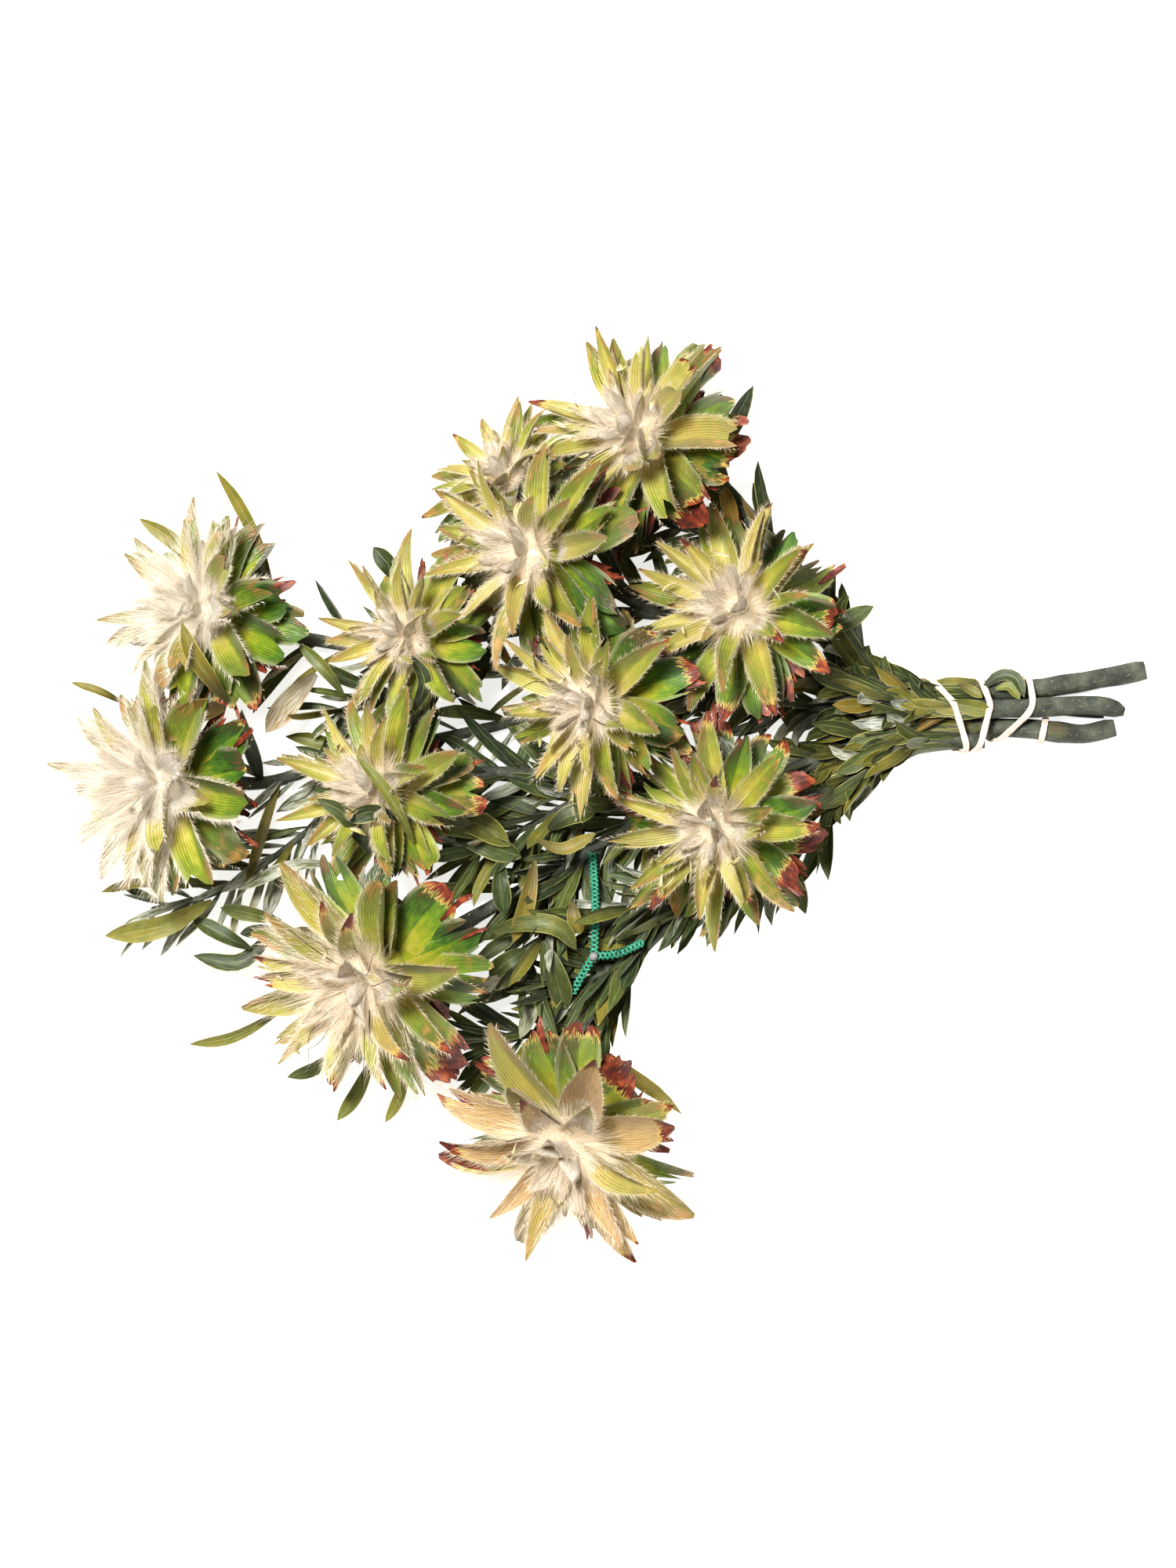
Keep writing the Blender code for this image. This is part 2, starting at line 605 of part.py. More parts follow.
def material(name, colour, roughness, sheen=0.0):
    """Return a plain surface of one colour."""
    surface = bpy.data.materials.new(name)
    surface.use_nodes = True
    shader = surface.node_tree.nodes["Principled BSDF"]
    shader.inputs["Base Color"].default_value = (*colour, 1.0)
    shader.inputs["Roughness"].default_value = roughness
    shader.inputs["Sheen Weight"].default_value = sheen
    surface.diffuse_color = (*colour, 1.0)
    return surface


def solid(name, points, faces, shift):
    """Return a mesh object in metres with its faces pointing out."""
    mesh = bpy.data.meshes.new(name)
    mesh.from_pydata(((points + shift) * MM).tolist(), [], faces)
    shape = bmesh.new()
    shape.from_mesh(mesh)
    bmesh.ops.recalc_face_normals(shape, faces=shape.faces)
    shape.to_mesh(mesh)
    shape.free()
    return bpy.data.objects.new(name, mesh)


def merge_flat_faces(mesh):
    """Join the slivers that a union leaves inside one flat face."""
    shape = bmesh.new()
    shape.from_mesh(mesh)
    bmesh.ops.dissolve_limit(shape, angle_limit=FLAT_ANGLE, verts=shape.verts, edges=shape.edges)
    shape.to_mesh(mesh)
    shape.free()


def fused(name, pieces, shift, surface):
    """Link one node: its first piece joined with all the others by one union."""
    body = solid(name, *pieces[0], shift)
    bpy.context.scene.collection.objects.link(body)
    if len(pieces) > 1:
        group = bpy.data.collections.new(name + "_repeats")
        bpy.context.scene.collection.children.link(group)
        repeats = [solid(f"{name}_{k}", *piece, shift) for k, piece in enumerate(pieces[1:])]
        for repeat in repeats:
            group.objects.link(repeat)
        union = body.modifiers.new("repeats", "BOOLEAN")
        union.operation = "UNION"
        union.operand_type = "COLLECTION"
        union.collection = group
        union.solver = "EXACT"
        evaluated = body.evaluated_get(bpy.context.evaluated_depsgraph_get())
        joined = bpy.data.meshes.new_from_object(evaluated)
        body.modifiers.clear()
        body.data = joined
        merge_flat_faces(joined)
        for repeat in repeats:
            bpy.data.objects.remove(repeat)
        bpy.data.collections.remove(group)
    body.data.materials.clear()
    body.data.materials.append(surface)
    body.data.shade_smooth()
    body.data.set_sharp_from_angle(angle=math.radians(35))
    return body


def build():
    """Make the whole bunch."""
    for old in list(bpy.data.objects):
        bpy.data.objects.remove(old)
    space = Space()
    parts = {node: [] for node in (*HEADS, *BRANCHES, *BANDS, "net_scrap")}
    middles = settle_heads()
    shoots = {}
    for branch, routes in BRANCHES.items():
        for shoot in routes:
            rings = shoot_rings(shoot, middles)
            shoots[branch, shoot.name] = rings
            parts[branch].append(tube(rings[:, :3], rings[:, 3], shoot_sides(shoot.name)))
    for band_name, band in BANDS.items():
        parts[band_name].append(band_ring(band, shoots))
    for name, head in HEADS.items():
        parts[name].append(receptacle(middles[name], head_axis(head), head.size))
    parts["net_scrap"] = net_strands()
    for node, pieces in parts.items():
        for points, faces in pieces:
            space.add(node, points, faces)
    grow_bracts(space, parts, middles)
    grow_leaves(space, parts, shoots)

    cloud = np.concatenate([points for pieces in parts.values() for points, _ in pieces])
    shift = -0.5 * (cloud.min(axis=0) + cloud.max(axis=0))
    shift[2] = 0.0
    surfaces = {
        "head": material("bract", (0.42, 0.45, 0.16), 0.6, 0.3),
        "branch": material("leaf", (0.10, 0.14, 0.07), 0.65),
        "band": material("rubber", (0.80, 0.72, 0.60), 0.7),
        "net": material("netting", (0.06, 0.36, 0.22), 0.55),
    }
    for node, pieces in parts.items():
        fused(node, pieces, shift, surfaces[node.split("_")[0]])


build()
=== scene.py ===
"""Looks of a tied bunch of dried protea heads that lies on its side.

Each head, leafy branch, band and net cord follows the solid that it stands for: the same
routes and seeded draws are worked out again, and each bract or leaf is kept where the solid
has it. Finer blades, wool, bark and colour are made over them. Lengths are in millimetres
until a mesh is made, in metres.
"""
import math
import random
from collections import namedtuple

import bpy
import numpy as np
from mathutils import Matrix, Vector
from mathutils.bvhtree import BVHTree


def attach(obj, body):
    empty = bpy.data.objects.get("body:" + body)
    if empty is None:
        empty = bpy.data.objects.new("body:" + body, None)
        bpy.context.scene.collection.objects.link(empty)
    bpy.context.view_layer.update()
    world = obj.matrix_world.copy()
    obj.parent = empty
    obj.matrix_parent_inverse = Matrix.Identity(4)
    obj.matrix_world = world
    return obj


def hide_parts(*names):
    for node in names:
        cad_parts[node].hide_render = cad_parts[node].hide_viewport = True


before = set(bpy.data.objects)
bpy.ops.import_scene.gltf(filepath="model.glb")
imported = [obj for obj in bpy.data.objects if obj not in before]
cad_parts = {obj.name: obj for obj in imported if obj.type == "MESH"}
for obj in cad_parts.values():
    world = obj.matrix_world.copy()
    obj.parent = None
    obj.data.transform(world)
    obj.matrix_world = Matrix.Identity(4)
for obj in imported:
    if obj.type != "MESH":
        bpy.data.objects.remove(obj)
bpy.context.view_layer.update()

MM = 0.001
# Where the plan's own origin lies in the frame
SHIFT = np.array((0.770, -2.181, 0.0))
GAP = 0.3
# Whatever would dip below the table lies this far above it
REST_HEIGHT = 0.1
GOLDEN_TURN = math.radians(137.508)
UP = np.array((0.0, 0.0, 1.0))

# Heads: crown in plan, height (None on the table), lean, tilt and size, as in the solids
Head = namedtuple("Head", "x y height lean tilt size")
HEADS = {
    "head_01": Head(12, 170, None, 150, 41, 1.12),
    "head_02": Head(-46, 151, None, 125, 52, 0.84),
    "head_03": Head(-38, 113, 60, 175, 40, 1.09),
    "head_04": Head(60, 89, 52, 145, 27, 1.07),
    "head_05": Head(-187, 88, None, 160, 40, 1.02),
    "head_06": Head(-206, 7, None, 185, 42, 1.07),
    "head_07": Head(-93, 76, 44, 175, 44, 0.90),
    "head_08": Head(-9, 43, 66, 190, 36, 1.00),
    "head_09": Head(-106, 6, 47, 165, 39, 1.00),
    "head_10": Head(49, -14, 52, 205, 26, 1.06),
    "head_11": Head(-112, -85, None, 210, 41, 1.25),
    "head_12": Head(-17, -162, None, 245, 36, 1.32),
}
CROWN_RISE = 14.0
RECEPTACLE = ((-14.0, 4.3), (-9.0, 8.6), (-2.0, 10.6), (5.0, 8.4), (9.0, 3.4))
BASE_HEIGHT = RECEPTACLE[0][0]
# The pad under the crown's down: height and radius; then its hairs: how many, nearest the axis,
# how far they lean out, shortest and longest
PAD = ((3.0, 8.0), (6.0, 11.0), (10.0, 10.2), (13.0, 7.0), (14.4, 2.0))
TUFTS = ((2000, 0.0, 1.8, 5.5, 11.0), (800, 0.45, 2.6, 9.0, 17.0))
# Own draws of margin and face hairs go from 0 to these
FRINGE_DRAW = 0.45
FUZZ_DRAW = 0.6

# How each head has aged: how woolly, how pale its bracts are, how red their tips, how tan they
# are, how broad and few the inner ones are, and whether those at the back are blunt
Mood = namedtuple("Mood", "wool pale red tan broad blunt", defaults=(0,))
MOODS = {
    "head_01": Mood(1.1, 0.38, 0.7, 0.08, 1.0, 1),
    "head_02": Mood(0.8, 0.50, 0.5, 0.10, 1.0),
    "head_03": Mood(1.0, 0.65, 0.4, 0.15, 1.0),
    "head_04": Mood(0.9, 0.42, 0.8, 0.15, 1.0),
    "head_05": Mood(2.0, 0.72, 0.3, 0.0, 1.0, 1),
    "head_06": Mood(2.5, 0.82, 0.2, 0.0, 1.0, 1),
    "head_07": Mood(0.9, 0.66, 0.4, 0.10, 1.0),
    "head_08": Mood(0.9, 0.66, 0.3, 0.15, 1.0),
    "head_09": Mood(0.8, 0.56, 0.4, 0.05, 1.0),
    "head_10": Mood(0.8, 0.50, 0.8, 0.10, 1.0),
    "head_11": Mood(1.7, 0.58, 0.8, 0.12, 1.08),
    "head_12": Mood(1.5, 0.54, 0.9, 0.85, 1.20),
}

# Wool past which a head is silken, or has long hairs on its inner bracts, and breadth past
# which it has fewer bracts
SILKEN = 1.8
SHAGGY = 1.3
BROAD = 1.1

# Blade outlines: the solid's stations and end, then the fine outline's widest place, share of
# the width at its base and at its tip, and how round it is past the widest place
Form = namedtuple("Form", "stations end widest base tip round")
SPEAR = Form(((0.0, 0.50), (0.55, 1.0)), "point", 0.50, 0.62, 0.14, 2.0)
KITE = Form(((0.0, 0.22), (0.50, 1.0)), "point", 0.48, 0.52, 0.10, 1.8)
LANCE = Form(((0.0, 0.22), (0.42, 1.0), (0.76, 0.66)), "point", 0.50, 0.46, 0.12, 2.0)
TORN = Form(((0.0, 0.22), (0.54, 1.0), (1.0, 0.62)), "torn", 0.58, 0.34, 0.60, 2.2)
LEAF = Form(((0.0, 0.20), (0.62, 1.0)), "point", 0.62, 0.20, 0.02, 2.3)
LONG_LEAF = Form(((0.0, 0.20), (0.42, 0.84), (0.76, 1.0)), "point", 0.60, 0.18, 0.02, 2.0)
BLADE_THICKNESS = 1.8
NOTCH_DEPTH = 0.10
# The least swing of an arc; how near the solid a blade's corners lie, and how many of them do
STRAIGHT = 1e-3
ON_SOLID = 0.05
CORNERS_FOUND = 2
# Steps along a fine route and along bark
FINE_STEP = 1.5
BARK_STEP = 3.5

Row = namedtuple("Row", "name count seat_height seat_radius rise fall length width form")
ROWS = (
    Row("crown", 4, 6.0, 1.8, 12, 24, 26, 8.0, SPEAR),
    Row("inner", 7, 2.0, 4.5, 34, 60, 46, 10.5, KITE),
    Row("middle", 8, -3.0, 6.0, 58, 84, 48, 13.5, LANCE),
    Row("outer", 6, -8.0, 5.0, 78, 108, 44, 20.0, TORN),
)
# Rows that only the fine heads have, set between the others
FINE_ROWS = (
    Row("core", 5, 6.5, 3.2, 22, 40, 30, 8.5, KITE),
    Row("quill", 5, 1.0, 5.2, 44, 68, 42, 11.0, LANCE),
    Row("under", 5, -5.0, 5.5, 68, 94, 43, 16.0, LANCE),
    Row("lobe", 5, -7.0, 5.0, 74, 100, 41, 21.0, TORN),
    Row("rust", 6, -9.0, 4.5, 82, 108, 37, 9.0, TORN),
    Row("scale", 7, -10.0, 4.0, 92, 124, 26, 12.0, TORN),
)
Draw = namedtuple("Draw", "turn lift length width roll curl")
BRACT_DRAW = Draw((-9, 9), (-6, 6), (0.90, 1.07), (0.86, 1.14), (-14, 14), (-7, 9))
LEAF_DRAW = Draw((-14, 14), (-4, 8), (0.8, 1.2), (0.85, 1.15), (-18, 18), (-12, 12))
PLACE_DRAW = (-0.3, 0.3)
BRACT_TRIES = tuple(
    (share, turn, swing)
    for share in (1.0, 0.86, 0.72, 0.58)
    for turn in (0, -7, 7, -14, 14)
    for swing in (0, -9, 9, -18, 18)
)
# How far a fine bract or leaf lies off the table at least
BRACT_OFF_TABLE = 1.0
LEAF_OFF_TABLE = 0.6
LIFTING_TRIES = ((1.0, 0, 0), (0.85, 0, 0), (0.85, 0, -12), (0.7, 0, -20))

# How each row of bracts is finished: rings and columns of its grid, share of the solid's width,
# how far the margins rise, hue along the row's ramp, share of the length under wool, hairs on
# the margins and their length, hairs on the face, and how often the end is split
Finish = namedtuple("Finish", "rings cols slim trough tone wool fringe reach fuzz split")
FINISHES = {
    "crown": Finish(8, 7, 0.90, 0.50, 1.00, 1.50, 90, 4.6, 220, 0.0),
    "core": Finish(8, 7, 0.86, 0.75, 0.96, 0.72, 110, 4.8, 170, 0.2),
    "inner": Finish(10, 7, 0.84, 0.74, 0.82, 0.28, 220, 4.8, 140, 0.2),
    "quill": Finish(9, 7, 0.78, 0.74, 0.66, 0.22, 170, 4.2, 80, 0.3),
    "middle": Finish(10, 7, 0.82, 0.64, 0.46, 0.12, 200, 3.8, 50, 0.3),
    "under": Finish(9, 7, 0.80, 0.50, 0.28, 0.05, 80, 2.6, 0, 0.5),
    "outer": Finish(11, 11, 0.90, 0.36, 0.16, 0.0, 40, 1.8, 0, 1.0),
    "lobe": Finish(10, 11, 0.90, 0.36, 0.08, 0.0, 20, 1.6, 0, 1.0),
    "rust": Finish(7, 5, 0.90, 0.34, 0.12, 0.0, 0, 1.0, 0, 1.0),
    "scale": Finish(5, 5, 1.00, 0.24, 0.0, 0.0, 0, 1.0, 0, 1.0),
}
RUSTY = {"rust": 1.9, "scale": 2.4}
# How far the coat of the silkiest heads goes past full, which makes it cooler
SILK = 1.3

# White scraps and dark threads that lie on a head
LITTER = {"head_01": (9, 5), "head_03": (3, 0), "head_04": (5, 0), "head_08": (8, 4),
          "head_10": (8, 0), "head_11": (7, 7), "head_12": (3, 0)}

# The bunch's outline seen from above, which no bract or leaf crosses
OUTLINE = (
    (-28, 218), (56, 216), (75, 191), (71, 159), (87, 121), (112, 108), (127, 89), (118, 74),
    (149, 54), (256, 71), (256, 22), (149, 24), (115, -6), (98, -47), (56, -70), (21, -70),
    (13, -90), (13, -120), (36, -129), (43, -158), (57, -177), (36, -217), (-21, -217),
    (-69, -177), (-90, -130), (-121, -154), (-193, -115), (-232, -65), (-255, 5), (-236, 77),
    (-230, 111), (-211, 136), (-187, 155), (-175, 155), (-150, 130), (-148, 91), (-121, 108),
    (-90, 121), (-78, 152), (-48, 184), (-28, 189),
)

Shoot = namedtuple("Shoot", "name head route")
BRANCHES = {
    "branch_a": (
        Shoot("stem", "head_01", (
            (250, 59.8, 4.6, 4.6), (232, 56.4, 4.6, 4.6), (217, 53.8, 4.6, 4.6),
            (200, 51.4, 6.1, 4.6), (180, 50.5, 6.1, 4.6), (160, 50.5, 6.1, 4.6),
            (144, 50.9, 6.3, 4.5), (125, 58, 10, 4.2), (108, 81, 17, 3.9), (88, 107, 21, 3.7),
            (66, 132, 22, 3.6), (48, 151, 24, 3.5))),
        Shoot("fork_1", "head_04", ((110, 77, 16.5, 3), (98, 84, 22, 3), (84, 88, 28, 3.2))),
        Shoot("fork_2", "head_02", (
            (90, 104, 20.5, 2.8), (70, 116, 15, 2.8), (35, 127, 10, 2.9), (0, 134, 9, 3))),
    ),
    "branch_b": (
        Shoot("stem", "head_03", (
            (240, 40.6, 14.4, 4.2), (229, 43.4, 13.6, 4.4), (214, 43.4, 12.7, 4.4),
            (200, 42.5, 12.5, 4.4), (180, 42, 12.5, 4.4), (160, 42, 12.5, 4.4),
            (144, 43, 13.2, 4.2), (122, 50, 17, 4.1), (88, 63, 16, 3.8), (48, 77, 12, 3.6),
            (15, 92, 11, 3.6), (-4, 104, 16, 3.5))),
        Shoot("fork_1", "head_08", ((96, 60, 16.5, 3), (68, 55, 20, 3), (40, 47, 29, 3.2))),
        Shoot("fork_2", "head_07", ((30, 85, 11.5, 2.6), (0, 86, 10, 2.6), (-32, 79, 10, 2.8))),
    ),
    "branch_c": (
        Shoot("stem", "head_05", (
            (231, 40.2, 4.8, 2.8), (214, 41.6, 4.6, 2.9), (200, 42.2, 4.4, 2.9),
            (180, 41.9, 4.4, 2.9), (160, 41.9, 4.4, 2.9), (144, 42, 4.4, 2.9), (112, 42, 5.5, 2.9),
            (60, 45, 6, 2.9), (5, 52, 6, 2.9), (-55, 61, 6, 2.9), (-110, 70, 7, 2.9),
            (-145, 76, 11, 3))),
        Shoot("fork_1", "head_06", (
            (2, 52.5, 6, 2.4), (-45, 35, 6, 2.5), (-105, 22, 7, 2.7), (-155, 8, 10, 3))),
        Shoot("twig_1", None, ((-62, 62, 6, 1.5), (-92, 52, 12, 1.4), (-122, 40, 20, 1.2))),
        Shoot("twig_2", None, (
            (-110, 21, 7, 1.6), (-138, -17, 9, 1.5), (-174, -41, 9, 1.4), (-206, -50, 8, 1.2))),
    ),
    "branch_d": (
        Shoot("stem", "head_09", (
            (236, 33.4, 5.6, 4.3), (221, 30.6, 5.8, 4.4), (210, 31.4, 6.4, 5.1),
            (203, 32.2, 6.6, 4.4), (192, 33.2, 6, 4.4), (180, 33.4, 5.9, 4.4),
            (160, 33.4, 5.9, 4.4), (144, 32, 6.1, 4.3), (116, 24, 6.6, 4.1), (84, 13, 8, 3.9),
            (41, 7.5, 9, 3.7), (-2, 8, 10, 3.6), (-38, 12, 11, 3.5), (-62, 11, 14, 3.5))),
        Shoot("fork_1", "head_11", ((36, 7, 9, 2.8), (0, -20, 8, 2.8), (-38, -42, 8, 2.9))),
        Shoot("twig_1", None, ((-4, -22, 8, 1.5), (-22, -50, 17, 1.4), (-34, -82, 22, 1.2))),
        Shoot("twig_2", None, ((0, 7, 10, 1.6), (-28, -9, 15, 1.4), (-58, -25, 19, 1.2))),
    ),
    "branch_e": (
        Shoot("stem", "head_10", (
            (176, 27.2, 13, 3.6), (166, 27.3, 13, 3.6), (158, 27.3, 13, 3.6),
            (144, 26.2, 13.6, 3.6), (127, 19, 15, 3.6), (108, 5, 16, 3.5))),
        Shoot("fork_1", "head_12", (
            (112, 8, 15.8, 3), (78, -23, 11, 3.1), (37, -52, 8, 3.1), (4, -84, 7, 3.1),
            (-5, -110, 8, 3.2))),
        Shoot("twig_1", None, ((31, -57, 8, 1.6), (12, -74, 15, 1.4), (-18, -87, 20, 1.2))),
        Shoot("twig_2", None, ((72, -27, 11, 1.6), (40, -40, 19, 1.5), (-8, -60, 22.4, 1.2))),
        Shoot("twig_3", None, ((1.5, -90, 7, 1.5), (-20, -103, 9, 1.4), (-48, -112, 10, 1.2))),
    ),
}
RING_SPACING = 30.0
NECK_REACH = 11.0
NECK_LENGTH = 9.0
NECK_SHARE = 0.86
STEM_SIDES = 8
# How the first three rings of a stem taper to its cut end
CUT_END = (0.90, 1.0, 1.0)
CUT_ENDS = {"branch_b": (0.45, 0.86, 0.97)}

Spray = namedtuple("Spray", "branch shoot start end spacing length width rise fall form")
# Kinds of leaf: length, width, rise, fall and outline
SHEATH = (30, 8.6, 48, 10, LEAF)
FOLIAGE = (39, 7.8, 46, 36, LONG_LEAF)
TWIG = (36, 6.8, 46, 34, LEAF)
COLLAR = (50, 7.6, 48, 58, LEAF)


def sprays(*kinds):
    """Return the sprays of each kind: branch, shoot, start and end along it, and spacing."""
    return tuple(Spray("branch_" + branch, *row, *kind)
                 for kind, *rows in kinds for branch, *row in rows)


# A start below 0 counts from the shoot's end
SPRAYS = sprays(
    (SHEATH,
     ("a", "stem", 101, 165, 5.4), ("b", "stem", 94, 170, 5.4), ("c", "stem", 88, 160, 7.0),
     ("d", "stem", 90, 165, 5.2), ("e", "stem", 34, 90, 5.2)),
    (FOLIAGE,
     ("a", "stem", 190, 250, 17.0), ("a", "fork_2", 25, 130, 18.0), ("b", "stem", 210, 285, 15.0),
     ("b", "fork_1", 14, 70, 18.0), ("b", "fork_2", 20, 90, 18.0), ("c", "stem", 250, 380, 24.0),
     ("c", "fork_1", 30, 150, 22.0), ("d", "stem", 230, 300, 14.0), ("d", "fork_1", 14, 100, 12.5),
     ("e", "fork_1", 12, 180, 15.5)),
    (TWIG,
     ("c", "twig_1", 8, 70, 8.5), ("c", "twig_2", 8, 124, 9.0), ("d", "twig_1", 8, 72, 7.2),
     ("d", "twig_2", 8, 70, 8.6), ("e", "twig_1", 8, 68, 8.0), ("e", "twig_2", 8, 92, 8.4),
     ("e", "twig_3", 8, 72, 8.0)),
    (COLLAR,
     ("a", "stem", -30, -4, 9.0), ("a", "fork_1", -24, -4, 9.0), ("b", "fork_2", -30, -4, 9.0),
     ("c", "stem", -40, -4, 9.0), ("c", "fork_1", -40, -4, 9.0), ("d", "stem", -30, -4, 9.0),
     ("d", "fork_1", -30, -4, 9.0), ("e", "stem", -24, -4, 9.0), ("e", "fork_1", -30, -4, 9.0)),
)
# Kinds and sprays that only the fine branches have: a tighter sheath and a thicker middle
TIGHT = (25, 7.6, 24, 50, LEAF)
WISP = (30, 3.6, 40, 30, LEAF)
NARROW = (34, 4.4, 38, 34, LONG_LEAF)
FINE_SPRAYS = sprays(
    (TIGHT,
     ("a", "stem", 84, 168, 3.0), ("b", "stem", 76, 176, 2.8), ("c", "stem", 76, 160, 3.6),
     ("d", "stem", 80, 168, 3.0), ("e", "stem", 20, 92, 3.0)),
    (FOLIAGE,
     ("d", "stem", 170, 330, 12.0), ("d", "fork_1", 10, 100, 9.0), ("e", "fork_1", 10, 182, 11.0)),
    (TWIG,
     ("d", "twig_1", 5, 76, 7.0), ("d", "twig_2", 5, 74, 6.0), ("e", "twig_1", 5, 70, 8.0),
     ("e", "twig_2", 5, 94, 8.0), ("e", "twig_3", 5, 74, 9.0)),
    (WISP,
     ("c", "twig_2", 5, 126, 4.0), ("c", "twig_1", 5, 74, 5.0), ("c", "fork_1", 40, 170, 7.0),
     ("c", "stem", 170, 400, 9.0)),
    (NARROW,
     ("d", "stem", 172, 330, 4.4), ("d", "fork_1", 8, 96, 3.2), ("d", "twig_1", 6, 74, 3.4),
     ("d", "twig_2", 6, 72, 3.6), ("e", "fork_1", 6, 176, 3.0), ("e", "twig_1", 6, 70, 3.2),
     ("e", "twig_2", 6, 94, 3.0), ("e", "twig_3", 6, 74, 4.2), ("b", "fork_1", 6, 74, 4.6),
     ("a", "fork_2", 6, 128, 5.0)),
    (FOLIAGE,
     ("b", "stem", 178, 300, 9.0), ("b", "fork_1", 10, 74, 8.0), ("a", "stem", 176, 262, 8.0),
     ("a", "fork_2", 15, 130, 8.0)),
)
# Leaves pressed to the stems under the bands: where they start along X and how far apart, how
# far round the stem they turn at most, and how near its cut end they start
PRESSED_SPAN = (181.0, 124.0)
PRESSED_STEP = 4.6
PRESSED_TWIST = 1.25
FREE_END = 4.0
LEVELLING = 0.75
LOOK_AHEAD = 4.0
LEAF_TRIES = tuple(
    (share, turn, swing)
    for share in (1.0, 0.8, 0.62)
    for turn in (0, 28, -28, 56, -56, 90, -90, 130)
    for swing in (0, 12, -8)
)
FINE_LEAF_TRIES = tuple((share, turn, 0) for share in (1.0, 0.75) for turn in (0, 40, -40, 90, 150))

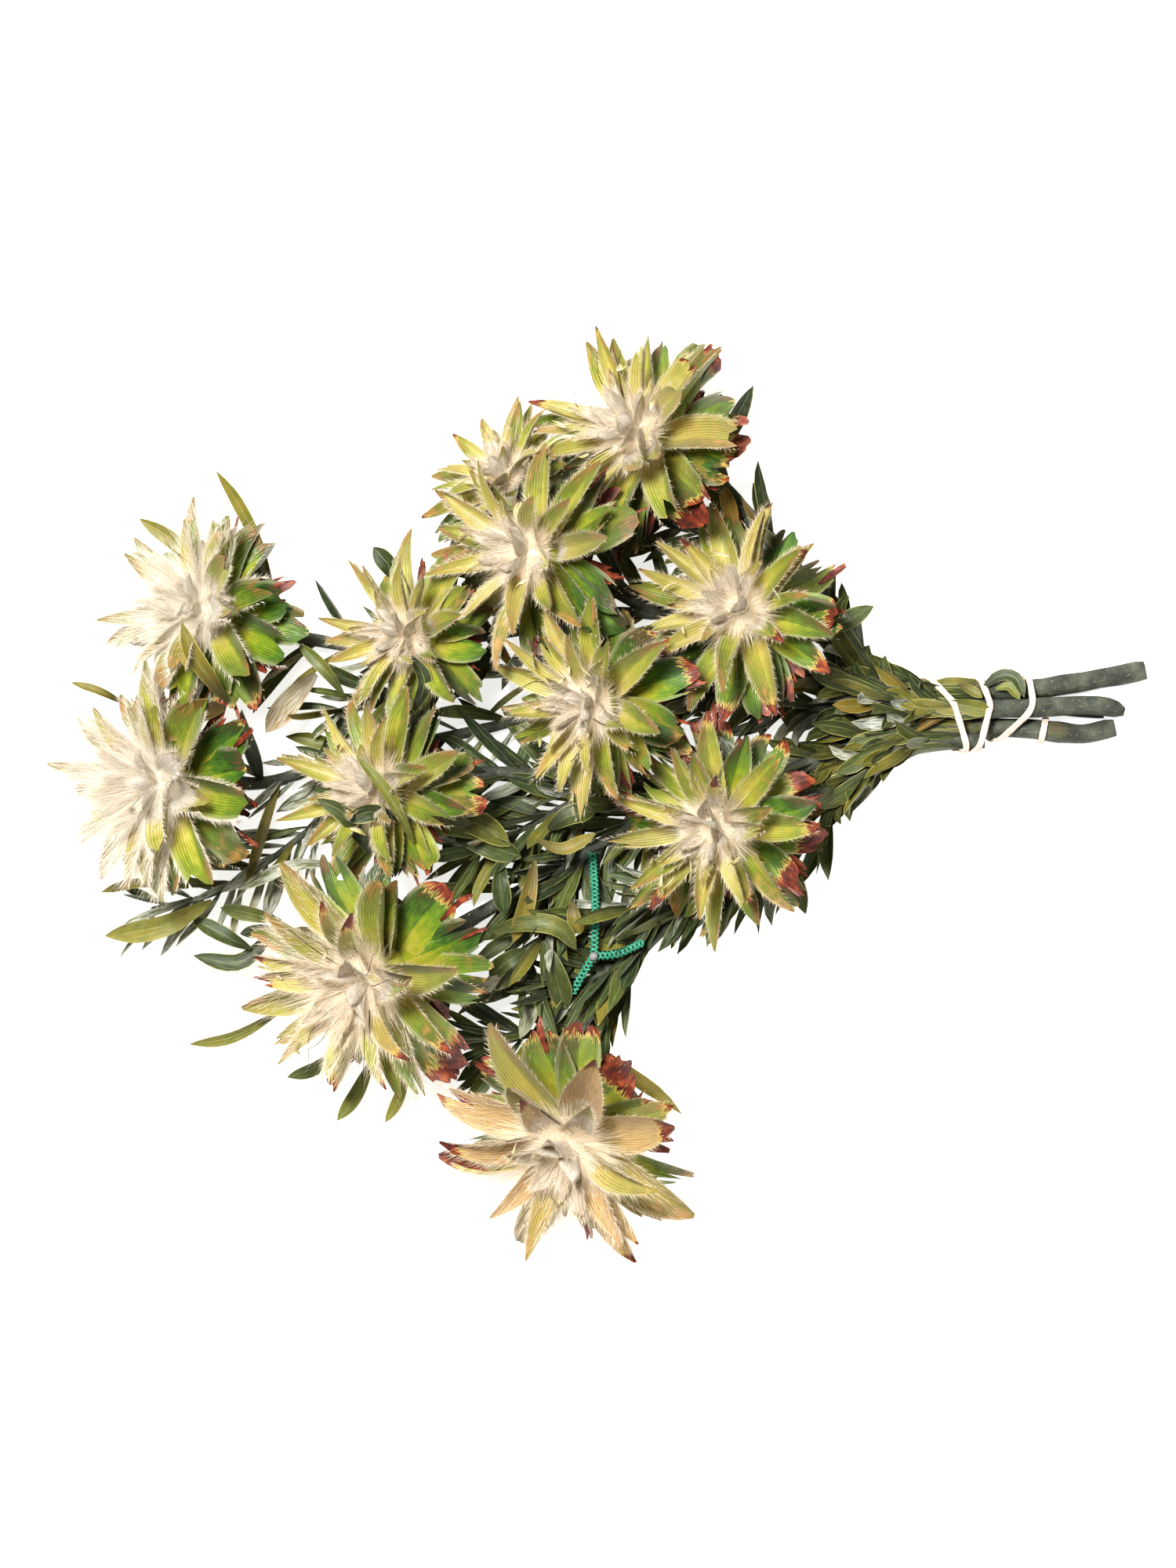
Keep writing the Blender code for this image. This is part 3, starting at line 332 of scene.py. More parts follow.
# Single leaves, listed one by one: route (x, y, height), width, hue, and how dark and silvery
STRAYS = {
    "branch_a": (
        (((44, 146, 24), (58, 168, 24), (70, 190, 18)), 9, 0.05, 1.0),
        (((92, 77, 26), (110, 81, 28), (125, 89, 25)), 9, 0.3, 0.6),
        (((58, 116, 22), (60, 130, 32), (55, 146, 37)), 8, 0.95),
        (((175, 51, 12), (182, 57, 13.5), (190, 56, 15), (194, 47, 17)), 6, 0.2, 0.8),
        (((181, 51, 14), (187, 52, 16), (192, 46, 17)), 5, 0.6, 0.0),
    ),
    "branch_b": (
        (((-85, 41, 52), (-80, 54, 66), (-86, 66, 68)), 7, 0.15, 0.9),
        (((-92, 100, 20), (-97, 108, 26), (-104, 116, 26)), 9, 0.1, 0.9),
        (((164, 53, 12), (169, 51, 14.5), (175, 47, 16)), 4.5, 0.7, 0.8),
        (((160, 45, 17.6), (171, 42.5, 18.2), (179, 41, 17.6)), 8, 0.6, 0.3),
    ),
    "branch_c": (
        (((-150, 96, 9), (-158, 120, 14), (-167, 138, 21), (-176, 151, 27)), 6, 0.75),
        (((-178, 100, 24), (-193, 117, 32), (-211, 129, 30)), 8, 0.72),
        (((-170, 45, 56), (-178, 56, 66), (-186, 68, 71), (-190, 81, 72)), 8, 0.78, 1.0),
        (((-178, -46, 22), (-200, -57, 28), (-227, -62, 20)), 11, 0.70, 0.2),
        (((-148, -58, 12), (-165, -74, 14), (-187, -71, 10)), 8, 0.2, 0.9),
        (((-198, -40, 14), (-212, -38, 18), (-229, -42, 14)), 5, 0.75, 1.0),
        (((-160, -68, 16), (-172, -62, 19), (-187, -54, 15)), 8, 0.25, 0.7),
        (((-146, -55, 22), (-158, -52, 26), (-174, -49, 22)), 8, 0.5, 0.4),
        (((-122, -29, 22), (-142, -30, 30), (-166, -41, 24)), 6, 0.45, 0.3, 1.0),
        (((-146, -60, 24), (-155, -59, 27), (-165, -61, 24)), 7, 0.0, 1.0),
        (((-117, 48, 40), (-126, 60, 46), (-138, 72, 42)), 6, 0.5),
        (((-171, 42, 56), (-186, 40, 65), (-199, 27, 66)), 14, 0.9, 0.9),
        (((-217, 44, 30), (-229, 50, 35), (-242, 54, 34)), 4, 0.75, 1.0),
        (((-130, 58, 30), (-142, 46, 33), (-153, 31, 28)), 12, 0.95, 0.6, 0.8),
        (((-85, -19, 60), (-96, 2, 72), (-111, 21, 73)), 6, 0.6, 0.3),
        (((-105, -24, 54), (-115, -7, 69), (-129, 1, 70)), 9, 0.3, 0.8),
        (((-93, -8, 64), (-104, -5, 71), (-116, -9, 70)), 9, 0.15, 0.9),
        (((-50, -17, 36), (-72, -10, 46), (-94, -7, 60)), 12, 0.5, 0.5),
    ),
    "branch_d": (
        (((-146, -96, 12), (-168, -108, 10), (-189, -112, 6)), 6, 0.65),
        (((-104, -118, 12), (-112, -135, 9), (-121, -147, 6)), 7, 0.6, 0.2),
        (((-88, -118, 14), (-92, -136, 9), (-99, -148, 4)), 6, 0.7, 0.2),
        (((-118, -112, 12), (-130, -122, 9), (-144, -127, 6)), 7, 0.4, 0.6),
    ),
    "branch_e": (
        (((76, -18, 22), (88, -36, 21), (94, -52, 14)), 8, 0.4, 0.8),
        (((-51, -60, 30), (-34, -56, 38), (-19, -58, 41), (-11, -68, 33)), 9, 0.5, 0.6),
        (((-26, -64, 34), (-21, -79, 35), (-16, -96, 20)), 11, 0.4, 0.6),
        (((-30, -27, 34), (-34, -46, 37), (-40, -65, 31)), 9, 0.85, 0.7),
        (((-29, -18, 34), (-17, -22, 39), (-2, -15, 38)), 6, 0.8, 0.7),
        (((-45, -28, 32), (-46, -38, 36), (-44, -52, 31)), 9, 0.2, 0.6),
        (((12, -38, 14), (13, -58, 17), (11, -80, 12)), 11, 0.45, 1.0),
        (((-13, -46, 32), (-12, -54, 34), (-9, -61, 30)), 7, 0.8, 0.8),
        (((-66, -17, 30), (-52, -20, 35), (-36, -26, 31)), 12, 0.3, 0.6),
        (((-81, -8, 34), (-58, -10, 40), (-41, -21, 36)), 12, 0.55, 0.8),
        (((-24, -13, 30), (-14, -7, 34), (-2, -5, 32)), 10, 0.35, 1.0),
        (((-34, -68, 28), (-42, -73, 31), (-51, -80, 26)), 9, 0.35, 0.5),
        (((-22, -80, 26), (-30, -94, 27), (-37, -109, 20)), 8, 0.5, 0.3, 0.8),
        (((-5, -91, 20), (-1, -98, 22), (2, -106, 18)), 7, 0.5, 0.9),
        (((-16, -85, 22), (-22, -92, 24), (-29, -96, 20)), 7, 0.7, 0.8),
    ),
}

Band = namedtuple("Band", "stems x slant bulge")
BANDS = {
    "band_1": Band("abcde", 157, -0.32, 13.0),
    "band_2": Band("abcde", 171, 0.24, 13.0),
    "band_3": Band("abcd", 190, 0.50, 14.0),
    "band_4": Band("d", 203, 0.25, 0.0),
}
# Where a side shoot was cut off the lowest stem
SCAR = np.array((208.8, 30.6, 10.8))
BAND_WIDTH = 3.0
BAND_THICKNESS = 1.2
BAND_STEP = 6.0
BAND_SIDES = 12

NET_STRANDS = (
    ((-3.6, -24, 12.75), (-2.8, -37, 19), (-2.4, -50, 25.2), (-2.6, -60, 27.6), (-3.2, -71, 27)),
    ((-3.2, -71, 27), (-8, -79, 25.6), (-13, -88, 24.4)),
    ((-3.2, -71, 27), (8, -70, 25), (19.4, -64.8, 22)),
)
NET_KNOT = ((-4.6, -70.0, 28.2), (-3.2, -71.2, 28.8), (-1.8, -72.6, 28.2))
NET_BERTH = 5.0
NET_PITCH = 4.2
YARN_RADIUS = 0.56

# The view: where the camera looks in plan, its height in metres, the floor and the lights by
# name, place, size and power
FRAME_CENTRE = (-4.99, 5.379)
CAMERA_HEIGHT = 6.0
FLOOR_REACH = 20.0
WHITE = (1.0, 1.0, 1.0, 1.0)
FLOOR = {"Base Color": (0.92, 0.92, 0.92, 1.0), "Roughness": 0.9, "Emission Color": WHITE,
         "Emission Strength": 0.60}
SKY_STRENGTH = 0.28
LAMPS = (("key", (-0.95, 0.95, 3.6), 0.9, 240.0), ("fill", (1.2, -0.6, 1.6), 1.2, 7.0))


def unit(v):
    """Return the vectors at length one."""
    return v / np.linalg.norm(v, axis=-1, keepdims=True)


def polar(angle, axis, out):
    """Return the direction at an angle from axis towards out."""
    return math.cos(angle) * axis + math.sin(angle) * out


def lean_way(head):
    """Return the level way that a head leans."""
    lean = math.radians(head.lean)
    return np.array((math.cos(lean), math.sin(lean), 0.0))


def head_axis(head):
    """Return the way a head faces."""
    return polar(math.radians(head.tilt), UP, lean_way(head))


def radials(axis):
    """Return two directions square to the axis and to each other, the first one level."""
    level = unit(np.cross(UP, axis))
    return level, np.cross(axis, level)


def smoothstep(low, high, value):
    """Rise from 0 to 1 between low and high by 3x squared less 2x cubed."""
    x = np.clip((value - low) / (high - low), 0.0, 1.0)
    return x * x * (3.0 - 2.0 * x)


def distances(line):
    """Return how far along a line each of its points lies."""
    return np.concatenate(([0.0], np.cumsum(np.linalg.norm(np.diff(line, axis=0), axis=1))))


def read_rows(where, marks, rows):
    """Return the rows' values at places between the marks, by straight interpolation."""
    return np.stack([np.interp(where, marks, column) for column in rows.T], axis=-1)


def fine_draw(*words):
    """Return the generator that the words seed."""
    return np.random.default_rng(list(" ".join(map(str, words)).encode()))


# The solids' own blades, worked out again

Pose = namedtuple("Pose", "root axis out rise fall length width roll")


def arc_point(pose, s):
    """Return the place and direction at share s along an arc that swings from rise to fall."""
    swing = pose.fall - pose.rise
    if abs(swing) < STRAIGHT:
        swing = STRAIGHT
    turn = pose.rise + swing * s
    along = (math.sin(turn) - math.sin(pose.rise)) / swing
    aside = (math.cos(pose.rise) - math.cos(turn)) / swing
    place = pose.root + pose.length * (along * pose.axis + aside * pose.out)
    return place, polar(turn, pose.axis, pose.out)


def blade_corners(pose, form):
    """Return the corners of the solid's keeled blade, three for each station, then its tip."""
    side_flat = np.cross(pose.out, pose.axis)
    points = []
    for s, share in form.stations:
        place, along = arc_point(pose, s)
        side = polar(pose.roll, side_flat, np.cross(side_flat, along))
        half = 0.5 * pose.width * share
        notch = NOTCH_DEPTH * pose.length * along if form.end == "torn" and s == 1.0 else 0.0
        points += [place - half * side, place + half * side,
                   place - BLADE_THICKNESS * np.cross(side, along) - notch]
    if form.end == "point":
        points.append(arc_point(pose, 1.0)[0])
    return np.array(points)


def bract_pose(name, head, middle, row, number, change=(1.0, 0, 0)):
    """Return how one bract of a head is set, by its own seeded draw."""
    draw = random.Random(f"{name} {row.name} {number}")
    share, turn, swing = change
    first = sum(ord(letter) for letter in name + row.name)
    aside = math.radians(draw.uniform(*BRACT_DRAW.turn) + turn)
    azimuth = first + 2.0 * math.pi * number / row.count + aside
    lift = draw.uniform(*BRACT_DRAW.lift) + swing
    axis = head_axis(head)
    out = polar(azimuth, *radials(axis))
    root = middle + head.size * (row.seat_height * axis + row.seat_radius * out)
    length = head.size * row.length * draw.uniform(*BRACT_DRAW.length) * share
    width = head.size * row.width * draw.uniform(*BRACT_DRAW.width)
    roll = math.radians(draw.uniform(*BRACT_DRAW.roll))
    fall = row.fall + lift + draw.uniform(*BRACT_DRAW.curl)
    return Pose(root, axis, out, math.radians(row.rise + lift), math.radians(fall),
                length, width, roll)


def settle_heads():
    """Return the middle of each head's receptacle, dropped to the table where it lies there."""
    middles = {}
    for name, head in HEADS.items():
        offset = np.array((head.x, head.y, 0.0)) - CROWN_RISE * head.size * head_axis(head)
        middle = np.array((offset[0], offset[1], head.height or 0.0))
        if head.height is None:
            middle[2] -= min(
                blade_corners(bract_pose(name, head, middle, row, k), row.form)[:, 2].min()
                for row in ROWS for k in range(row.count)
            )
        middles[name] = middle
    return middles


def is_inside(points):
    """Say whether every point lies inside the bunch's outline in plan."""
    starts = np.array(OUTLINE, dtype=float)
    ends = np.roll(starts, -1, axis=0)
    x, y = points[:, 0, None], points[:, 1, None]
    spans = (starts[:, 1] > y) != (ends[:, 1] > y)
    rise = np.where(ends[:, 1] == starts[:, 1], 1.0, ends[:, 1] - starts[:, 1])
    crossing = starts[:, 0] + (y - starts[:, 1]) * (ends[:, 0] - starts[:, 0]) / rise
    return bool(np.all(np.sum(spans & (x < crossing), axis=1) % 2 == 1))


def smooth_route(route, spacing=RING_SPACING):
    """Return a Catmull-Rom curve: every given point, and more where they are far apart."""
    route = np.asarray(route, dtype=float)
    padded = np.vstack((2 * route[0] - route[1], route, 2 * route[-1] - route[-2]))
    rings = [route[0]]
    for k in range(1, len(route)):
        before, start, end, after = padded[k - 1:k + 3]
        steps = max(1, round(np.linalg.norm(end[:3] - start[:3]) / spacing))
        t = (np.arange(1, steps + 1) / steps)[:, None]
        rings.extend(0.5 * (2 * start + (end - before) * t
                            + (2 * before - 5 * start + 4 * end - after) * t ** 2
                            + (3 * start - before - 3 * end + after) * t ** 3))
    return np.array(rings)


def shoot_rings(shoot, middles):
    """Return a shoot's rings as the solid has them, with a neck if it carries a head."""
    if not shoot.head:
        return smooth_route(shoot.route)
    head = HEADS[shoot.head]
    axis = head_axis(head)
    end = middles[shoot.head] + (BASE_HEIGHT * head.size - GAP) * axis
    radius = RECEPTACLE[0][1] * head.size * NECK_SHARE
    rings = smooth_route([*shoot.route, (*(end - NECK_REACH * axis), radius), (*end, radius)])
    rings[-2, :3] = rings[-1, :3] - NECK_LENGTH * axis
    return rings


def level_roll(axis, out, angle):
    """Return the roll that turns most of a blade's upper face to the sky."""
    side = np.cross(out, axis)
    upper = np.cross(side, polar(angle, axis, out))
    return LEVELLING * math.atan2(-side[2], upper[2])


def leaf_pose(spray, rings, number, change=(1.0, 0, 0)):
    """Return how one leaf of a spray is set on the middle line of its shoot."""
    draw = random.Random(f"{spray.branch} {spray.shoot} {spray.start} {number}")
    share, turn, swing = change
    marks = distances(rings[:, :2])
    start = spray.start if spray.start > 0 else marks[-1] + spray.start
    where = start + spray.spacing * (number + draw.uniform(*PLACE_DRAW))
    where = min(where, marks[-1] - LOOK_AHEAD)
    root, ahead = (read_rows(at, marks, rings[:, :3]) for at in (where, where + LOOK_AHEAD))
    way = unit(ahead - root)
    azimuth = number * GOLDEN_TURN + math.radians(draw.uniform(*LEAF_DRAW.turn) + turn)
    out = polar(azimuth, *radials(way))
    length = spray.length * draw.uniform(*LEAF_DRAW.length) * share
    width = spray.width * draw.uniform(*LEAF_DRAW.width)
    rise = math.radians(spray.rise + draw.uniform(*LEAF_DRAW.lift) + swing)
    fall = math.radians(spray.fall + draw.uniform(*LEAF_DRAW.curl) + swing)
    roll = level_roll(way, out, 0.5 * (rise + fall)) + math.radians(draw.uniform(*LEAF_DRAW.roll))
    return Pose(root, way, out, rise, fall, length, width, roll)


def node_tree(node):
    """Return the surface of a node's solid, in millimetres of the plan, to find places on."""
    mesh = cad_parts[node].data
    points = np.empty(3 * len(mesh.vertices))
    mesh.vertices.foreach_get("co", points)
    points = points.reshape(-1, 3) / MM - SHIFT
    mesh.calc_loop_triangles()
    faces = np.empty(3 * len(mesh.loop_triangles), dtype=int)
    mesh.loop_triangles.foreach_get("vertices", faces)
    return BVHTree.FromPolygons(points.tolist(), faces.reshape(-1, 3).tolist())


def built_pose(tree, tries, make, form):
    """Return the first pose whose corners lie on the solid's surface, or None if none do."""
    for change in tries:
        pose = make(change)
        corners = blade_corners(pose, form)[3:]
        found = sum(tree.find_nearest(corner, ON_SOLID)[0] is not None for corner in corners)
        if found >= CORNERS_FOUND:
            return pose
    return None


# Meshes

def linked(name, data):
    """Return a new object of the data, linked to the scene."""
    made = bpy.data.objects.new(name, data)
    bpy.context.scene.collection.objects.link(made)
    return made


def faces(*corners):
    """Return faces from the grids of their corners' numbers."""
    return np.stack(corners, axis=-1).reshape(-1, len(corners))


class Build:
    """Surfaces gathered for one piece, in millimetres of the plan.

    Each point has UV (across and along, in centimetres), look (hue, wool, nearness to the
    margin, own draw) and age (share of the length, red, underside, tan). On leaves, red says
    how dark the leaf is: partly its own olive, partly painted shade.
    """

    def __init__(self):
        self.count = 0
        self.points, self.quads, self.tris = [], [np.empty((0, 4), int)], [np.empty((0, 3), int)]
        self.uv, self.look, self.age = [], [], []

    def add(self, points, quads, tris, uv=(0.0, 0.0), look=(0.5, 0.0, 0.0, 0.5),
            age=(0.5, 0.0, 0.0, 0.0)):
        """Add one surface; quads and tris are rows of its own point numbers."""
        for kept, rows in ((self.quads, quads), (self.tris, tris)):
            if len(rows):
                kept.append(rows + self.count)
        self.count += len(points)
        self.points.append(points)
        for kept, rows in ((self.uv, uv), (self.look, look), (self.age, age)):
            kept.append(np.broadcast_to(rows, (len(points), np.shape(rows)[-1])))

    def piece(self, name, nodes, slot, surface):
        """Make the piece, link it, hang it under the root and hide the solids of its nodes."""
        points = np.concatenate(self.points)
        points[:, 2] = np.maximum(points[:, 2], REST_HEIGHT)
        points = (points + SHIFT) * MM
        quads, tris = np.concatenate(self.quads), np.concatenate(self.tris)
        corners = np.concatenate((quads.ravel(), tris.ravel()))
        starts = (4 * np.arange(len(quads)), quads.size + 3 * np.arange(len(tris)))
        mesh = bpy.data.meshes.new(name)
        mesh.vertices.add(len(points))
        mesh.vertices.foreach_set("co", points.ravel())
        mesh.loops.add(len(corners))
        mesh.loops.foreach_set("vertex_index", corners)
        mesh.polygons.add(len(quads) + len(tris))
        mesh.polygons.foreach_set("loop_start", np.concatenate(starts))
        uv = np.concatenate(self.uv)[corners]
        mesh.uv_layers.new(name="UVMap").data.foreach_set("uv", uv.ravel())
        for label, values in (("look", self.look), ("age", self.age)):
            attribute = mesh.attributes.new(label, "FLOAT_COLOR", "POINT")
            attribute.data.foreach_set("color", np.concatenate(values).ravel())
        mesh.update(calc_edges=True)
        mesh.shade_smooth()
        mesh.set_sharp_from_angle(angle=math.radians(75))
        mesh.materials.append(surface)
        made = linked(name, mesh)
        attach(made, "root")
        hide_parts(*nodes)


Course = namedtuple("Course", "s place along side normal length")


def course(pose, rings, hook, twist, sweep):
    """Return a blade's middle line at even shares s of its length.

    The direction turns evenly from rise to fall, and hook adds its square over the last two
    fifths. The place is the running sum of the direction, and sweep moves it aside by the
    square of s. The side is square to the bend, turned by roll plus twist times s.
    """
    s = np.linspace(0.0, 1.0, rings)
    turn = pose.rise + (pose.fall - pose.rise) * s
    turn = turn + hook * np.clip((s - 0.6) / 0.4, 0.0, 1.0) ** 2
    along = np.outer(np.cos(turn), pose.axis) + np.outer(np.sin(turn), pose.out)
    steps = 0.5 * (along[1:] + along[:-1]) / (rings - 1)
    place = pose.root + pose.length * np.vstack((np.zeros(3), np.cumsum(steps, axis=0)))
    side_flat = np.cross(pose.out, pose.axis)
    upper = np.cross(side_flat, along)
    angle = (pose.roll + twist * s)[:, None]
    side = np.cos(angle) * side_flat + np.sin(angle) * upper
    place = place + sweep * pose.length * (s ** 2)[:, None] * side
    return Course(s, place, along, side, np.cross(side, along), pose.length)


def route_course(route, rings, roll=0.0, over=UP):
    """Return a middle line through given points by a Catmull-Rom curve read at even steps.

    The side is the cross product of the direction and over, turned by roll about the direction.
    """
    line = smooth_route(route, FINE_STEP)
    marks = distances(line)
    s = np.linspace(0.0, 1.0, rings)
    place = read_rows(s * marks[-1], marks, line)
    along = unit(np.gradient(place, axis=0))
    side = unit(np.cross(along, over))
    side = polar(roll, side, np.cross(side, along))
    return Course(s, place, along, side, np.cross(side, along), marks[-1])


def outline(form, s):
    """Return the share of the full width at s: up to the widest place by a parabola, then down
    to the tip by the form's power."""
    before = form.base + (1.0 - form.base) * (1.0 - ((form.widest - s) / form.widest) ** 2)
    past = np.clip((s - form.widest) / (1.0 - form.widest), 0.0, 1.0)
    after = form.tip + (1.0 - form.tip) * (1.0 - past ** form.round)
    return np.where(s < form.widest, before, after)


Skin = namedtuple("Skin", "tone wool draw red tan", defaults=(0.5, 0.0, 0.5, 0.0, 0.0))


def add_sheet(build, path, width, form, cols, skin, ends=1.0, trough=0.2, thickness=0.45,
              wave=0.0, phase=0.0):
    """Add a thin closed blade over a grid of shares s along and t across (from -1 to 1).

    A point is the middle line at s, plus half the width times t aside, plus trough times the
    half width times |t| to the power 1.5 upward, plus a sine wave in t and s. The underside lies
    lower by the thickness times one less t to the fourth, and shares the top's border. The ends
    give each column its own share of the length.
    """
    t = np.linspace(-1.0, 1.0, cols)
    s = np.outer(path.s, np.ones(cols) * ends)
    rings = len(path.s)

    def spread(*values):
        return np.stack([value * np.ones_like(s) for value in values], axis=-1)

    def shell(upper, lower):
        inside = lower[1:-1, 1:-1]
        return np.concatenate([rows.reshape(-1, rows.shape[-1]) for rows in (upper, inside)])

    half = 0.5 * width * outline(form, s)
    place, _, side, normal = (read_rows(s, path.s, rows) for rows in path[1:5])
    lift = trough * half * np.abs(t) ** 1.5 + wave * half * s * np.sin(7.0 * s + 2.6 * t + phase)
    top = place + (half * t)[..., None] * side + lift[..., None] * normal
    below = top - (thickness * (1.0 - t ** 4))[:, None] * normal
    grid = np.arange(rings * cols).reshape(rings, cols)
    under = grid.copy()
    under[1:-1, 1:-1] = np.arange((rings - 2) * (cols - 2)).reshape(rings - 2, -1) + rings * cols
    quads = [faces(g[:-1, :-1], g[:-1, 1:], g[1:, 1:], g[1:, :-1]) for g in (grid, under)]
    quads = np.concatenate((quads[0], quads[1][:, ::-1]))
    uv = spread(0.05 * width * t, 0.1 * path.length * s)
    wool = skin.wool(s) if callable(skin.wool) else skin.wool
    look = spread(skin.tone, wool, np.abs(t), skin.draw)
    age = [spread(s, skin.red, underside, skin.tan) for underside in (0.0, 1.0)]
    build.add(shell(top, below), quads, (), shell(uv, uv), shell(look, look), shell(*age))


def add_tube(build, rings, radii, sides, skin, knots=0.0, seed=0):
    """Add a closed tube: each ring is a circle of the given radius round the route.

    The radius swells by a sum of two sines in the angle and the length, and flat caps of fans
    close both ends.
    """
    rings = np.asarray(rings, dtype=float)
    count = len(rings)
    radii = np.broadcast_to(radii, count)
    level, upper = radials(unit(np.gradient(rings, axis=0)))
    marks = distances(rings)
    turn = np.arange(sides) * 2.0 * math.pi / sides
    ripple = np.sin(2 * turn + 0.21 * marks[:, None] + seed)
    ripple = ripple + 0.7 * np.sin(3 * turn - 0.37 * marks[:, None] + 2 * seed)
    reach = radii[:, None] * (1.0 + knots * ripple)
    points = (rings[:, None] + (reach * np.cos(turn))[..., None] * level[:, None]
              + (reach * np.sin(turn))[..., None] * upper[:, None])
    points = np.concatenate((points.reshape(-1, 3), rings[:1], rings[-1:]))
    grid = np.arange(count * sides).reshape(count, sides)
    beside = np.roll(grid, -1, axis=1)
    quads = faces(grid[:-1], beside[:-1], beside[1:], grid[1:])
    caps = [faces(first[row], second[row], np.full(sides, middle)) for first, second, row, middle in
            ((beside, grid, 0, count * sides), (grid, beside, -1, count * sides + 1))]
    around = np.broadcast_arrays(0.1 * radii[:, None] * turn, 0.1 * marks[:, None])
    uv = np.concatenate((np.stack(around, axis=-1).reshape(-1, 2), np.zeros((2, 2))))
    look = np.tile((skin.tone, skin.wool, 0.0, skin.draw), (len(points), 1))
    look[-2:, 2] = 1.0
    build.add(points, quads, np.concatenate(caps), uv, look, (0.5, skin.red, 0.0, skin.tan))


class Hairs:
    """Hairs gathered for one piece: root, way, length, width and own draw of each."""

    def __init__(self):
        self.rows = []

    def add(self, root, way, length, width, draw):
        """Add many hairs."""
        self.rows.append(np.column_stack((root, unit(way), length, width, draw)))

    def weave(self, build):
        """Add them all as thin three-sided needles: a ring round the root, and a tip."""
        rows = np.concatenate(self.rows)[:, None]
        root, way, length, width, draw = np.split(rows, (3, 6, 7, 8), axis=-1)
        helper = np.where(np.abs(way[..., 2:3]) < 0.8, UP, np.array((1.0, 0.0, 0.0)))
        first = unit(np.cross(way, helper))
        turn = (np.arange(3) * 2.0 * math.pi / 3.0)[None, :, None]
        ring = 0.5 * width * (np.cos(turn) * first + np.sin(turn) * np.cross(way, first))
        points = np.concatenate((root + ring, root + length * way), axis=1)
        sides = np.array([(0, 2, 1), (0, 1, 3), (1, 2, 3), (2, 0, 3)])
        tris = (np.arange(len(rows))[:, None, None] * 4 + sides).reshape(-1, 3)
        look = np.zeros((len(rows), 4, 4))
        look[..., 3] = draw[..., 0]
        build.add(points.reshape(-1, 3), (), tris, look=look.reshape(-1, 4), age=np.zeros(4))


def on_blade(path, s, aside, lift):
    """Return places at shares s of a blade, moved aside and up, and the three ways there."""
    place, along, side, normal = (read_rows(s, path.s, rows) for rows in path[1:5])
    return place + aside[:, None] * side + lift[:, None] * normal, side, along, normal


def fringe(hairs, path, width, form, trough, count, reach, thick, rng):
    """Set hairs along both margins, leaning out and forward, shorter towards the tip."""
    s = rng.uniform(0.06, 0.98, count)
    hand = rng.choice((-1.0, 1.0), count)
    half = 0.5 * width * outline(form, s)
    root, side, along, normal = on_blade(path, s, 0.97 * hand * half, trough * half)
    way = (hand * rng.uniform(0.25, 0.8, count))[:, None] * side + along
    way = way + rng.normal(0.0, 0.14, (count, 3)) + 0.1 * normal
    length = reach * rng.uniform(0.4, 1.3, count) * (1.15 - 0.45 * s)
    hairs.add(root, way, length, thick * rng.uniform(0.13, 0.22, count),
              FRINGE_DRAW * rng.random(count))


def fuzz(hairs, path, width, form, trough, count, reach, far, rng):
    """Set hairs over a blade's face up to a share of its length, leaning forward."""
    s = far * rng.uniform(0.0, 1.0, count) ** 0.8
    t = rng.uniform(-0.95, 0.95, count)
    half = 0.5 * width * outline(form, s)
    root, side, along, normal = on_blade(path, s, t * half, trough * half * np.abs(t) ** 1.5)
    way = along + rng.uniform(0.05, 0.45, count)[:, None] * normal + (0.25 * t)[:, None] * side
    way = way + rng.normal(0.0, 0.13, (count, 3))
    hairs.add(root, way, reach * rng.uniform(0.5, 1.2, count), rng.uniform(0.18, 0.30, count),
              FUZZ_DRAW * rng.random(count))


def torn_ends(cols, depth, rng):
    """Return each column's share of the length: a round end, a little uneven, with deep notches.

    The end falls off by the square of t; each notch takes the depth off one column and a fifth
    of it off its neighbours.
    """
    t = np.linspace(-1.0, 1.0, cols)
    ends = 1.0 - 0.10 * t ** 2 - 0.05 * rng.random(cols)
    notches = min(int(rng.integers(1, 4)), cols // 3)
    for place in rng.choice(np.arange(1, cols - 1), notches, replace=False):
        cut = depth * rng.uniform(0.3, 1.5)
        ends[place] -= cut
        ends[[place - 1, place + 1]] -= 0.2 * cut
    return ends


